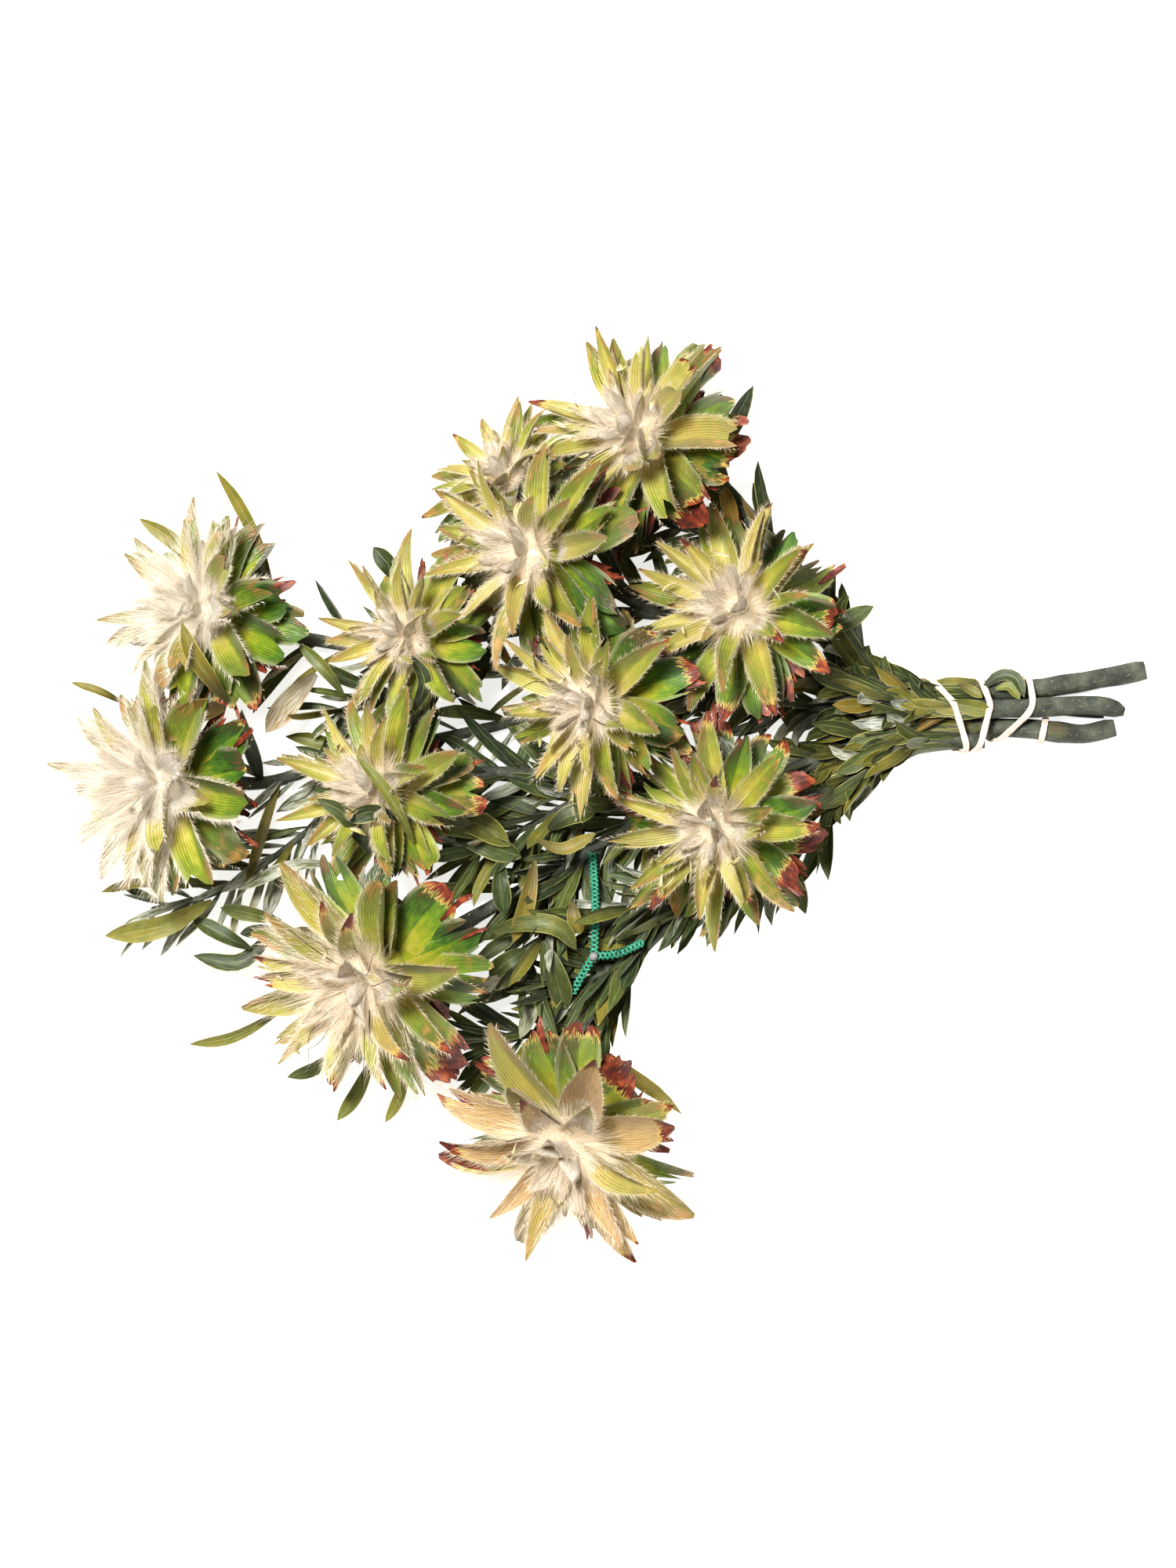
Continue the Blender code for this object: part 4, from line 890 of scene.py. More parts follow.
def add_bract(build, hairs, pose, row, head, mood, rng):
    """Add one fine bract with its wool.

    Front says how far it points where the head leans; bracts there are paler and woollier. The
    wool ends at a share of the length, and steep bracts have more of it.
    """
    finish = FINISHES[row.name]
    front = float(pose.out @ lean_way(head))
    inner = finish.tone > 0.4
    silken = mood.wool > SILKEN
    broad = finish.slim * (mood.broad if inner else 1.0 / mood.broad)
    blunt = mood.blunt and front < -0.15 and row.name in ("inner", "quill", "middle", "under")
    pose = pose._replace(width=pose.width * broad * (1.45 if blunt else 1.0 - 0.14 * front))
    form = row.form._replace(tip=0.62, round=2.6, widest=0.60) if blunt else row.form
    if mood.broad > BROAD and not inner:
        pose = pose._replace(length=pose.length * (0.94 + 0.20 * min(front, 0.0)))
    path = course(pose, finish.rings, math.radians(rng.uniform(-30, 26)),
                  math.radians(rng.uniform(-22, 22)), rng.uniform(-0.08, 0.08))
    trough = finish.trough * (rng.uniform(0.7, 1.3) if inner else rng.uniform(-0.8, 1.8))
    split = rng.random() < finish.split or blunt
    ends = torn_ends(finish.cols, rng.uniform(0.12, 0.26), rng) if split else 1.0
    steep = float(smoothstep(0.78, 0.96, path.along[path.s.size // 2, 2]))
    silky = (0.20 if silken else 0.10) * mood.wool * max(front, 0.0) + 0.40 * steep
    woolly = finish.wool * (0.55 + 0.45 * mood.wool) + silky * (finish.wool > 0.1)

    def wool(s):
        return (SILK if silken else 1.0) * smoothstep(woolly + 0.14, woolly - 0.20, s)

    tone = finish.tone + 0.30 * (mood.pale - 0.5) + 0.16 * front + rng.normal(0.0, 0.12)
    own = rng.random()
    if finish.split < 1.0:
        red = mood.red * rng.uniform(0.0, 1.2) * (finish.split > 0.0)
    else:
        red = max(mood.red, 0.5) * rng.uniform(0.3, 1.3) * (1.0 - 0.35 * front)
    tan = mood.tan * (1.0 if inner else 0.15) * rng.uniform(0.4, 1.6) + rng.exponential(0.05)
    skin = Skin(np.clip(tone, 0.0, 1.0), wool if woolly else 0.0, own,
                RUSTY.get(row.name, float(red)), float(np.clip(tan, 0.0, 1.0)))
    add_sheet(build, path, pose.width, form, finish.cols, skin, ends, trough,
              3.0 if row.name == "crown" else 0.45, rng.uniform(0.0, 0.16 if inner else 0.34),
              rng.uniform(0.0, 6.3))
    if finish.split == 1.0:
        add_strips(build, path, pose.width, form, skin, rng)
    blade = (hairs, path, pose.width, form, trough)
    density = 0.45 + 0.45 * mood.wool
    if finish.fringe:
        fringe(*blade, int(finish.fringe * density), finish.reach * (0.65 + 0.35 * mood.wool),
               0.65 + 0.45 * mood.wool, rng)
    if finish.fuzz:
        fuzz(*blade, int(finish.fuzz * density), 0.9 * finish.reach, min(1.0, woolly + 0.1), rng)
    if mood.wool > SHAGGY and inner and front > -0.3:
        fuzz(*blade, int(220 * (mood.wool - 1.0)), 7.0 + 6.0 * (mood.wool - 1.0), 0.85, rng)


def add_strips(build, path, width, form, skin, rng):
    """Add the narrow red-brown strip that a torn end may split off."""
    for _ in range(int(rng.integers(0, 2))):
        t = rng.uniform(-0.85, 0.85)
        half = 0.5 * width * outline(form, 0.9)
        root = path.place[-4] + t * half * path.side[-4]
        way = path.along[-1] + 0.5 * t * path.side[-1] + rng.normal(0.0, 0.22, 3)
        middle = path.place[-1] + 1.05 * t * half * path.side[-1]
        tip = middle + path.length * rng.uniform(0.02, 0.12) * way
        strip = route_course((root, middle, tip), 5, over=path.normal[-1])
        add_sheet(build, strip, rng.uniform(1.4, 3.8), TORN, 5,
                  Skin(0.2, 0.0, rng.random(), 3.2, skin.tan), torn_ends(5, 0.2, rng), 0.4, 0.3)


def add_body(build, head, middle, profile, skin, knots=0.0):
    """Add a round body on the head's axis: rings on a smooth curve through heights and radii."""
    line = smooth_route([(height, radius, 0.0) for height, radius in profile], 1.6)
    rings = middle + head.size * line[:, :1] * head_axis(head)
    add_tube(build, rings, head.size * line[:, 1], 20, skin, knots, head.x)


def add_tuft(build, hairs, head, middle, mood, rng):
    """Add the crown's down: a pad and two lots of hairs on it.

    Roots lie on a dome over the crown; a hair leans out by its root's share of the dome's width,
    and is longer on the side that the head leans to.
    """
    axis = head_axis(head)
    level, upper = radials(axis)
    add_body(build, head, middle, PAD, Skin(draw=0.8), 0.05)
    for count, nearest, spread, short, long in TUFTS:
        count = int(count * (0.5 + 0.5 * mood.wool))
        turn = rng.uniform(0.0, 2.0 * math.pi, count)
        away = nearest + (1.0 - nearest) * np.sqrt(rng.random(count))
        out = np.outer(np.cos(turn), level) + np.outer(np.sin(turn), upper)
        dome = (14.0 - 6.0 * away ** 2)[:, None] * axis + (11.0 * away)[:, None] * out
        way = axis + (spread * away)[:, None] * out + rng.normal(0.0, 0.18, (count, 3))
        facing = smoothstep(-0.5, 0.7, out @ unit(axis * (1.0, 1.0, 0.0)))
        length = head.size * rng.uniform(short, long, count)
        length = length * (1.0 + (mood.wool ** 1.1 - 1.0) * facing) * mood.broad
        hairs.add(middle + head.size * dome, way, length, rng.uniform(0.20, 0.32, count),
                  0.40 + 0.60 * rng.random(count))


def make_head(name, middles, surfaces):
    """Make a head's fine bracts and its wool."""
    head, middle, mood = HEADS[name], middles[name], MOODS[name]
    tree = node_tree(name)
    build, wool, hairs = Build(), Build(), Hairs()
    add_body(build, head, middle, RECEPTACLE, Skin(tone=0.3, draw=0.4, red=0.9))
    for row in ROWS + FINE_ROWS:
        for number in range(row.count):
            def make(change):
                return bract_pose(name, head, middle, row, number, change)
            own = row in ROWS
            pose = built_pose(tree, BRACT_TRIES, make, row.form) if own else lifted(make, row)
            few = mood.broad > BROAD and row.name in ("core", "quill", "lobe", "under")
            if pose is not None and not (few and number % 2):
                rng = fine_draw(name, row.name, number)
                add_bract(build, hairs, pose, row, head, mood, rng)
    rng = fine_draw(name, "tuft")
    add_tuft(wool, hairs, head, middle, mood, rng)
    scraps, threads = LITTER.get(name, (2, 0))
    add_scraps(build, head, middle, scraps, rng)
    if threads:
        dark = Build()
        add_threads(dark, head, middle, threads, rng)
        dark.piece(name + "_threads", [name], "bract", surfaces["thread"])
    hairs.weave(wool)
    build.piece(name + "_bracts", [name], "bract", surfaces["bract"])
    wool.piece(name + "_wool", [name], "bract", surfaces["silk" if mood.wool > SILKEN else "wool"])


def lifted(make, row):
    """Return the pose of an extra bract, swung up or shortened until it is off the table."""
    for change in LIFTING_TRIES:
        pose = make(change)
        if blade_corners(pose, row.form)[:, 2].min() > BRACT_OFF_TABLE:
            return pose
    return None


def cone_place(head, middle, height, radius, turn):
    """Return a place over the inner bracts: out from the axis by radius, up by height."""
    axis = head_axis(head)
    out = polar(turn, *radials(axis))
    return middle + head.size * (height * axis + radius * out), out


def add_scraps(build, head, middle, count, rng):
    """Add the broken white curls that lie about the crown."""
    for _ in range(count):
        radius = rng.uniform(10.0, 24.0)
        root, out = cone_place(head, middle, 10.0 + 0.8 * radius, radius, rng.uniform(0.0, 6.3))
        way = unit(0.6 * out + rng.normal(0.0, 0.6, 3))
        curl = unit(np.cross(way, out) + rng.normal(0.0, 0.4, 3))
        reach = rng.uniform(3.5, 7.0)
        route = (root, root + reach * way, root + 1.7 * reach * way + 0.8 * reach * curl)
        path = route_course(route, 6, rng.uniform(-1.0, 1.0), head_axis(head))
        add_sheet(build, path, rng.uniform(1.4, 3.4), TORN, 5, Skin(1.0, 0.3, rng.random()),
                  torn_ends(5, 0.4, rng), 0.5, 0.3)


def add_threads(build, head, middle, count, rng):
    """Add the dark dry threads that lie over the bracts."""
    for _ in range(count):
        turn = rng.uniform(0.0, 6.3)
        spots = [(16.0, 10.0, turn), (25.0, 20.0, turn + rng.uniform(-0.3, 0.3)),
                 (28.0, 30.0, turn + rng.uniform(-0.5, 0.5))]
        line = smooth_route([cone_place(head, middle, *spot)[0] for spot in spots], 3.0)
        add_tube(build, line, np.linspace(0.26, 0.12, len(line)), 4, Skin())


def make_branch(name, shoots, head_trees, surfaces):
    """Make a branch's stems and its leaves."""
    tree = node_tree(name)
    stems, leaves = Build(), Build()
    for number, shoot in enumerate(BRANCHES[name]):
        fine = smooth_route(shoots[name, shoot.name], BARK_STEP)
        main = shoot.name == "stem"
        if main:
            fine[:3, 3] *= CUT_ENDS.get(name, CUT_END)
        add_tube(stems, fine[:, :3], fine[:, 3], 14 if main else 8,
                 Skin(draw=0.2 * number), 0.035, number)
    for spray in SPRAYS + FINE_SPRAYS:
        if spray.branch != name:
            continue
        for number in range(int((spray.end - spray.start) / spray.spacing)):
            def make(change):
                return leaf_pose(spray, shoots[name, spray.shoot], number, change)
            if spray in SPRAYS:
                pose = built_pose(tree, LEAF_TRIES, make, spray.form)
            else:
                pose = free_pose(head_trees, make, spray.form)
            if pose is not None:
                add_leaf(leaves, pose, spray, fine_draw(name, spray.shoot, spray.start, number))
    add_pressed(leaves, name, shoots[name, "stem"])
    for row in STRAYS[name]:
        add_stray(leaves, *row)
    stems.piece(name + "_stems", [name], "leafy_wood", surfaces["bark"])
    leaves.piece(name + "_leaves", [name], "leafy_wood", surfaces["leaf"])


def add_stray(build, route, width, tone, dark=0.5, silver=0.0):
    """Add one listed leaf."""
    draw = abs(math.sin(route[0][0]))
    path = route_course(route, 12, 0.9 * (draw - 0.5))
    add_sheet(build, path, width, LEAF, 5, Skin(tone, 0.0, draw, dark, silver), 1.0, 0.3)


def add_pressed(build, name, rings):
    """Add the leaves held flat on a stem under the bands; past the bands they lift slowly."""
    rng = fine_draw(name, "pressed")
    line = smooth_route(rings, FINE_STEP)
    for start in np.arange(*PRESSED_SPAN, -PRESSED_STEP):
        start += rng.uniform(-2.0, 2.0)
        if start > line[:, 0].max() - FREE_END:
            continue
        angle = rng.uniform(-PRESSED_TWIST, PRESSED_TWIST)
        away = np.array((0.0, math.sin(angle), math.cos(angle)))
        route = []
        for back in (0.0, 9.0, 18.0, rng.uniform(24.0, 31.0)):
            x = start - back
            place = read_rows(-x, -line[:, 0], line)
            lift = 0.35 + 0.14 * max(0.0, BANDS["band_1"].x - 6.0 - x)
            route.append(place[:3] + (place[3] + lift) * away)
        path = route_course(route, 8, rng.uniform(-0.25, 0.25), away)
        # Their darkness of 0.8 is partly their own olive and partly painted shade of the tie; it
        # also darkens each towards its base.
        skin = Skin(0.2 + 0.5 * rng.random(), 0.0, rng.random(), 0.8)
        add_sheet(build, path, rng.uniform(6.5, 9.5), LEAF, 5, skin, 1.0, -0.25, 0.35)


def hides_net(corners):
    """Say whether a blade lies over the netting, seen from above."""
    for strand in NET_STRANDS:
        line = smooth_route(strand, 3.0)
        for spot in np.concatenate((corners, 0.5 * (corners[:-1] + corners[1:]))):
            near = np.linalg.norm(line[:, :2] - spot[:2], axis=1) < NET_BERTH
            if near.any() and spot[2] > line[near, 2].min() - 1.0:
                return True
    return False


def free_pose(head_trees, make, form):
    """Return the first pose that is off the table, inside the outline and clear of the heads."""
    for change in FINE_LEAF_TRIES:
        pose = make(change)
        corners = blade_corners(pose, form)
        if corners[:, 2].min() < LEAF_OFF_TABLE or not is_inside(corners) or hides_net(corners):
            continue
        sides = [(0, 1, 2)] + [(k, k + 1, k + 3) for k in range(len(corners) - 3)]
        own = BVHTree.FromPolygons(corners.tolist(), sides)
        if not any(own.overlap(tree) for tree in head_trees):
            return pose
    return None


def add_leaf(build, pose, spray, rng):
    """Add one fine leaf, each with its own bend, twist, hue and darkness, which is partly painted
    shade.
    """
    sheath = spray[5:] in (SHEATH, TIGHT)
    loose = 0.08 if sheath else 0.16
    path = course(pose, 8, math.radians(rng.uniform(-10, 55) if sheath else rng.uniform(-20, 30)),
                  math.radians(rng.uniform(-40, 40)), rng.uniform(-loose, loose))
    if sheath:
        tone = 0.05 + 0.55 * rng.beta(1.5, 2.2) + 0.2 * (pose.root[1] < 30.0)
        # Sheath leaves are the darkest: partly their own olive, partly painted shade of the tie.
        dark, silver = 1.0, 0.15
    else:
        tone = 0.85 * rng.beta(1.4, 1.9)
        # Painted shade: the leaves of the first two branches, which lie under the heads, are
        # darker.
        dark = 0.9 if spray.branch in ("branch_a", "branch_b") else 0.5
        pale = spray[5:] == WISP or (spray.branch, spray.shoot) == ("branch_c", "twig_2")
        silver = 0.7 if pale else 0.08
    if rng.random() < 0.07:
        tone = rng.uniform(0.75, 1.0)
    if spray[5:] == NARROW:
        tone, dark, silver = 0.5 * tone, 0.7, 0.2
    skin = Skin(tone, 0.0, rng.random(), dark, float(rng.random() < silver))
    add_sheet(build, path, pose.width * (0.78 if sheath else 1.0), spray.form, 5, skin, 1.0,
              rng.uniform(0.1, 0.6), 0.4, rng.uniform(0.0, 0.12), rng.uniform(0.0, 6.3))


def hull(points):
    """Return the convex outline of points in a plane, counter-clockwise."""
    points = sorted(map(tuple, points))

    def bends_left(a, b, c):
        return (b[0] - a[0]) * (c[1] - b[1]) - (b[1] - a[1]) * (c[0] - b[0]) > 1e-9

    def chain(run):
        line = []
        for p in run:
            while len(line) > 1 and not bends_left(line[-2], line[-1], p):
                line.pop()
            line.append(p)
        return line[:-1]

    return np.array(chain(points) + chain(reversed(points)))


def stem_section(rings, x):
    """Return the corners of a stem's outline in the plane at x, as (y, z) pairs."""
    rings = rings[np.argsort(rings[:, 0])]
    y, z, radius = read_rows(x, rings[:, 0], rings[:, 1:])
    turns = (np.arange(STEM_SIDES) + 0.5) * 2.0 * math.pi / STEM_SIDES
    corner = radius / math.cos(math.pi / STEM_SIDES)
    return np.column_stack((y + corner * np.cos(turns), z + corner * np.sin(turns)))


def band_loop(band, stems):
    """Return the middle line of a band and the way out from it, as the solid has them."""
    reach = 0.5 * (abs(band.bulge) + BAND_WIDTH)
    places = (band.x - reach, band.x, band.x + reach)
    around = hull(np.concatenate([stem_section(stem, x) for stem in stems for x in places]))
    line = []
    for start, end in zip(around, np.roll(around, -1, axis=0)):
        steps = max(1, round(np.linalg.norm(end - start) / BAND_STEP))
        line += [start + (end - start) * k / steps for k in range(steps)]
    line = np.array(line)
    edges = np.roll(line, -1, axis=0) - line
    outward = np.column_stack((edges[:, 1], -edges[:, 0])) / np.linalg.norm(edges, axis=1)[:, None]
    before = np.roll(outward, 1, axis=0)
    corner = (outward + before) / (1.0 + np.sum(outward * before, axis=1))[:, None]
    lift = (line[:, 1] - line[:, 1].min()) / (line[:, 1].max() - line[:, 1].min())
    middle = 0.5 * (line[:, 0].min() + line[:, 0].max())
    x = band.x + band.slant * (line[:, 0] - middle) + band.bulge * (lift - 0.5)
    yz = line + (GAP + 0.5 * BAND_THICKNESS) * corner
    return np.column_stack((x, yz)), np.column_stack((np.zeros(len(x)), corner))


def cut_corners(loop):
    """Return a closed loop with each side's points moved to its first and last quarters."""
    ahead = np.roll(loop, -1, axis=0)
    return np.stack((0.75 * loop + 0.25 * ahead, 0.25 * loop + 0.75 * ahead), axis=1).reshape(-1, 3)


def make_band(name, shoots, surfaces):
    """Make a band: a rounded flat section carried round its loop, smoothed by cutting corners."""
    band = BANDS[name]
    loop, out = band_loop(band, [shoots[f"branch_{letter}", "stem"] for letter in band.stems])
    for _ in range(2):
        loop, out = cut_corners(loop), cut_corners(out)
    out = unit(out)
    ahead = unit(np.roll(loop, -1, axis=0) - np.roll(loop, 1, axis=0))
    wide = unit(np.cross(out, ahead))
    turn = (np.arange(BAND_SIDES) + 0.5) * 2.0 * math.pi / BAND_SIDES
    strain = 1.0 + 0.06 * np.sin(np.arange(len(loop)) * 0.9)
    flat = 0.5 * BAND_WIDTH * np.sign(np.cos(turn)) * np.abs(np.cos(turn)) ** 0.6
    thick = 0.5 * BAND_THICKNESS * np.sign(np.sin(turn)) * np.abs(np.sin(turn)) ** 0.7
    points = (loop[:, None] + (strain[:, None] * flat)[..., None] * wide[:, None]
              + thick[None, :, None] * out[:, None])
    grid = np.arange(len(loop) * BAND_SIDES).reshape(-1, BAND_SIDES)
    right, ahead = np.roll(grid, -1, axis=1), np.roll(grid, -1, axis=0)
    build = Build()
    build.add(points.reshape(-1, 3), faces(grid, ahead, np.roll(right, -1, axis=0), right), ())
    build.piece(name + "_loop", [name], "rubber_band", surfaces["rubber"])


def make_net(surfaces):
    """Make the knitted net cord: four yarns wind round each strand, two each way."""
    build, knot = Build(), Build()
    for strand in NET_STRANDS:
        line = smooth_route(strand, 0.7)
        level, upper = radials(unit(np.gradient(line, axis=0)))
        marks = distances(line)
        for hand in (-1.0, 1.0):
            for start in (0.0, math.pi):
                turn = hand * marks * 2.0 * math.pi / NET_PITCH + start
                wander = 1.45 + 0.25 * np.cos(2.0 * turn)
                yarn = (line + (wander * np.cos(turn))[:, None] * level
                        + (0.85 * wander * np.sin(turn))[:, None] * upper)
                add_tube(build, yarn, YARN_RADIUS, 5, Skin())
    build.piece("net_scrap_knit", ["net_scrap"], "netting", surfaces["net"])
    line = smooth_route(NET_KNOT, 0.5)
    radii = 0.6 + 1.8 * np.sin(np.linspace(0.0, math.pi, len(line)))
    add_tube(knot, line, radii, 10, Skin(), 0.12, 2)
    knot.piece("net_scrap_knot", ["net_scrap"], "netting", surfaces["knot"])


# Materials

def rgb(*screen):
    """Return a screen colour, 0 to 255, in linear light."""
    shares = np.array(screen) / 255.0
    linear = np.where(shares <= 0.04045, shares / 12.92, ((shares + 0.055) / 1.055) ** 2.4)
    return (*linear, 1.0)


class Nodes:
    """The shader nodes of one tree."""

    def __init__(self, tree):
        self.tree = tree

    def put(self, kind, inputs=None, **settings):
        """Add a node; each input is a value or the socket that feeds it."""
        made = self.tree.nodes.new("ShaderNode" + kind)
        for name, value in settings.items():
            setattr(made, name, value)
        for key, value in (inputs or {}).items():
            if isinstance(value, bpy.types.NodeSocket):
                self.tree.links.new(value, made.inputs[key])
            else:
                made.inputs[key].default_value = value
        return made

    def maths(self, operation, *values):
        """Return the result of one sum."""
        return self.put("Math", dict(enumerate(values)), operation=operation).outputs[0]

    def times(self, first, second):
        """Return a product."""
        return self.maths("MULTIPLY", first, second)

    def plus(self, base, value, factor):
        """Return the base plus the value times a factor."""
        return self.maths("MULTIPLY_ADD", value, factor, base)

    def sway(self, base, value, factor, middle=0.5):
        """Return the base plus a factor times how far the value is past the middle."""
        return self.plus(base, self.maths("SUBTRACT", value, middle), factor)

    def between(self, value, low, high):
        """Return 0 to 1 as the value goes from low to high, eased at both ends."""
        return self.put("MapRange", {0: value, 1: low, 2: high, 3: 0.0, 4: 1.0},
                        interpolation_type="SMOOTHSTEP").outputs[0]

    def blend(self, factor, first, second, kind="MIX"):
        """Return a mix of two colours."""
        return self.put("Mix", {0: factor, 6: first, 7: second}, data_type="RGBA",
                        blend_type=kind).outputs[2]

    def tint(self, colour, mask, tone, share=None):
        """Return the colour with the mask, or a share of it, covered by a tone."""
        return self.blend(mask if share is None else self.times(mask, share), colour, rgb(*tone))

    def ramp(self, factor, *stops):
        """Return a colour ramp over stops of a place and a colour."""
        made = self.put("ValToRGB", {0: factor})
        elements = made.color_ramp.elements
        while len(elements) < len(stops):
            elements.new(0.5)
        for element, (place, *colour) in zip(elements, stops):
            element.position = place
            element.color = rgb(*colour)
        return made.outputs[0]

    def vector(self, *parts):
        """Return a vector of its parts."""
        return self.put("CombineXYZ", dict(enumerate(parts))).outputs[0]

    def noise(self, vector, scale, detail):
        """Return a cloudy noise."""
        return self.put("TexNoise", {"Vector": vector, "Scale": scale, "Detail": detail}).outputs[0]


def fibre_group():
    """Build the shared plant fibre: ribs across, streaks along and a soft mottle."""
    group = bpy.data.node_groups.new("plant fibre", "ShaderNodeTree")
    work = Nodes(group)
    for way, names in (("INPUT", ("Across", "Along", "Draw", "Pitch")),
                       ("OUTPUT", ("Ribs", "Streaks", "Mottle"))):
        for name in names:
            group.interface.new_socket(name, in_out=way, socket_type="NodeSocketFloat")
    across, along, draw, pitch = group.nodes.new("NodeGroupInput").outputs[:4]

    def clouds(wide, tall, far, scale, detail):
        spot = (work.times(across, wide), work.times(along, tall), work.times(draw, far))
        return work.noise(work.vector(*spot), scale, detail)

    streaks = clouds(6.0, 0.7, 37.0, 2.2, 3.0)
    mottle = clouds(1.0, 0.8, 11.0, 2.6, 4.0)
    wave = work.maths("SINE", work.plus(work.times(across, pitch), mottle, 1.2))
    ribs = work.plus(0.5, wave, 0.5)
    target = group.nodes.new("NodeGroupOutput").inputs
    for name, value in (("Ribs", ribs), ("Streaks", streaks), ("Mottle", mottle)):
        group.links.new(value, target[name])
    return group


Facts = namedtuple("Facts", "across along tone wool edge draw share red under tan")


class Surface(Nodes):
    """A material under way."""

    def __init__(self, name):
        self.material = bpy.data.materials.new(name)
        self.material.use_nodes = True
        super().__init__(self.material.node_tree)
        self.shader = self.tree.nodes["Principled BSDF"].inputs

    def facts(self):
        """Return the sockets of what each point carries."""
        uv = self.put("SeparateXYZ", {0: self.put("UVMap", uv_map="UVMap").outputs[0]})
        found = [uv.outputs[0], uv.outputs[1]]
        for name in ("look", "age"):
            source = self.put("Attribute", attribute_name=name).outputs
            parts = self.put("SeparateColor", {0: source["Color"]})
            found += [*parts.outputs[:3], source["Alpha"]]
        return Facts(*found)

    def fibres(self, group, facts, pitch):
        """Return the ribs, streaks and mottle of a blade."""
        made = self.put("Group", node_tree=group)
        for key, value in (("Across", facts.across), ("Along", facts.along), ("Draw", facts.draw)):
            self.tree.links.new(value, made.inputs[key])
        made.inputs["Pitch"].default_value = pitch
        return (made.outputs[name] for name in ("Ribs", "Streaks", "Mottle"))

    def place(self):
        """Return the place on the piece."""
        return self.put("TexCoord").outputs["Object"]

    def done(self, colour, roughness, bump=None, height=0.0, glow=0.0, **values):
        """Return the material, with colour, bump and other values on its shader.

        Glow is the share of light that goes through.
        """
        self.tree.links.new(colour, self.shader["Base Color"])
        self.shader["Roughness"].default_value = roughness
        for name, value in values.items():
            self.shader[name.replace("_", " ").title()].default_value = value
        if bump is not None:
            dent = self.put("Bump", {"Height": bump, "Strength": 1.0, "Distance": height * MM})
            self.tree.links.new(dent.outputs[0], self.shader["Normal"])
        if glow:
            main = self.tree.nodes["Principled BSDF"].outputs[0]
            through = self.put("BsdfTranslucent", {0: colour}).outputs[0]
            mixed = self.put("MixShader", {0: glow, 1: main, 2: through})
            self.tree.links.new(mixed.outputs[0], self.tree.nodes["Material Output"].inputs[0])
        return self.material


def bract_surface(group):
    """Bracts: green outside, straw inside, brown-red at the tips, ribbed, woolly at the base, with
    painted light and shade on the two halves of each fold.
    """
    work = Surface("bract_fibre")
    facts = work.facts()
    ribs, streaks, mottle = work.fibres(group, facts, 62.0)
    # Painted light and shade: one half of each bract, on the side its own draw picks, moves paler
    # along the ramp and the other half darker, as a fold lit from one side looks.
    hand = work.maths("SIGN", work.maths("SUBTRACT", facts.draw, 0.5))
    half = work.between(work.times(facts.across, hand), -0.05, 0.05)
    place = work.sway(work.sway(facts.share, streaks, 0.80), mottle, 0.45)
    place = work.sway(work.sway(place, half, 0.26), facts.edge, 0.10, 0.4)
    outer = work.ramp(place, (0.0, 204, 192, 84), (0.26, 170, 174, 40), (0.50, 106, 142, 30),
                      (0.74, 54, 100, 24), (0.92, 34, 64, 22), (1.0, 80, 64, 30))
    middle = work.ramp(place, (0.0, 224, 210, 152), (0.24, 204, 193, 88), (0.50, 160, 168, 46),
                       (0.74, 100, 128, 30), (0.92, 126, 118, 42), (1.0, 158, 116, 58))
    inner = work.ramp(place, (0.0, 228, 215, 188), (0.34, 218, 205, 150), (0.62, 196, 185, 98),
                      (0.86, 150, 152, 62), (1.0, 166, 136, 74))
    colour = work.blend(work.between(facts.tone, 0.05, 0.50), outer, middle)
    colour = work.blend(work.between(facts.tone, 0.50, 0.98), colour, inner)
    ripe = work.times(work.between(mottle, 0.40, 0.75), work.between(facts.draw, 0.3, 0.9))
    colour = work.tint(colour, ripe, (204, 164, 74), 0.5)
    dry = work.times(facts.tan, work.between(facts.share, 0.05, 0.45))
    colour = work.tint(colour, dry, (198, 166, 118))
    shade = work.plus(0.66, work.between(ribs, 0.0, 0.50), 0.36)
    shade = work.plus(work.maths("SUBTRACT", shade, 0.42), streaks, 0.90)
    grey = work.put("CombineColor", {0: shade, 1: shade, 2: shade}).outputs[0]
    colour = work.blend(1.0, colour, grey, "MULTIPLY")
    rim = work.between(work.plus(facts.edge, streaks, 0.30), 0.90, 1.12)
    colour = work.tint(colour, rim, (238, 230, 196), 0.22)
    burnt = work.plus(work.plus(facts.share, streaks, 0.30), facts.red, 0.45)
    rust = work.ramp(mottle, (0.30, 66, 28, 20), (0.50, 122, 52, 32), (0.70, 178, 94, 52))
    colour = work.tint(colour, work.between(burnt, 1.31, 1.35), (214, 188, 108), 0.8)
    colour = work.blend(work.between(burnt, 1.35, 1.38), colour, rust)
    colour = work.tint(colour, facts.under, (206, 198, 140), 0.25)
    coat = work.between(work.plus(facts.wool, streaks, 0.9), 0.60, 1.40)
    down = work.blend(work.between(streaks, 0.35, 0.65), rgb(194, 182, 163), rgb(225, 216, 201))
    silk = work.blend(streaks, rgb(194, 186, 171), rgb(238, 231, 218))
    down = work.blend(work.between(facts.wool, 1.0, SILK), down, silk)
    colour = work.blend(coat, colour, down)
    bump = work.maths("ADD", work.times(ribs, 0.35), streaks)
    return work.done(colour, 0.45, bump, 0.25, 0.18, sheen_weight=0.15)


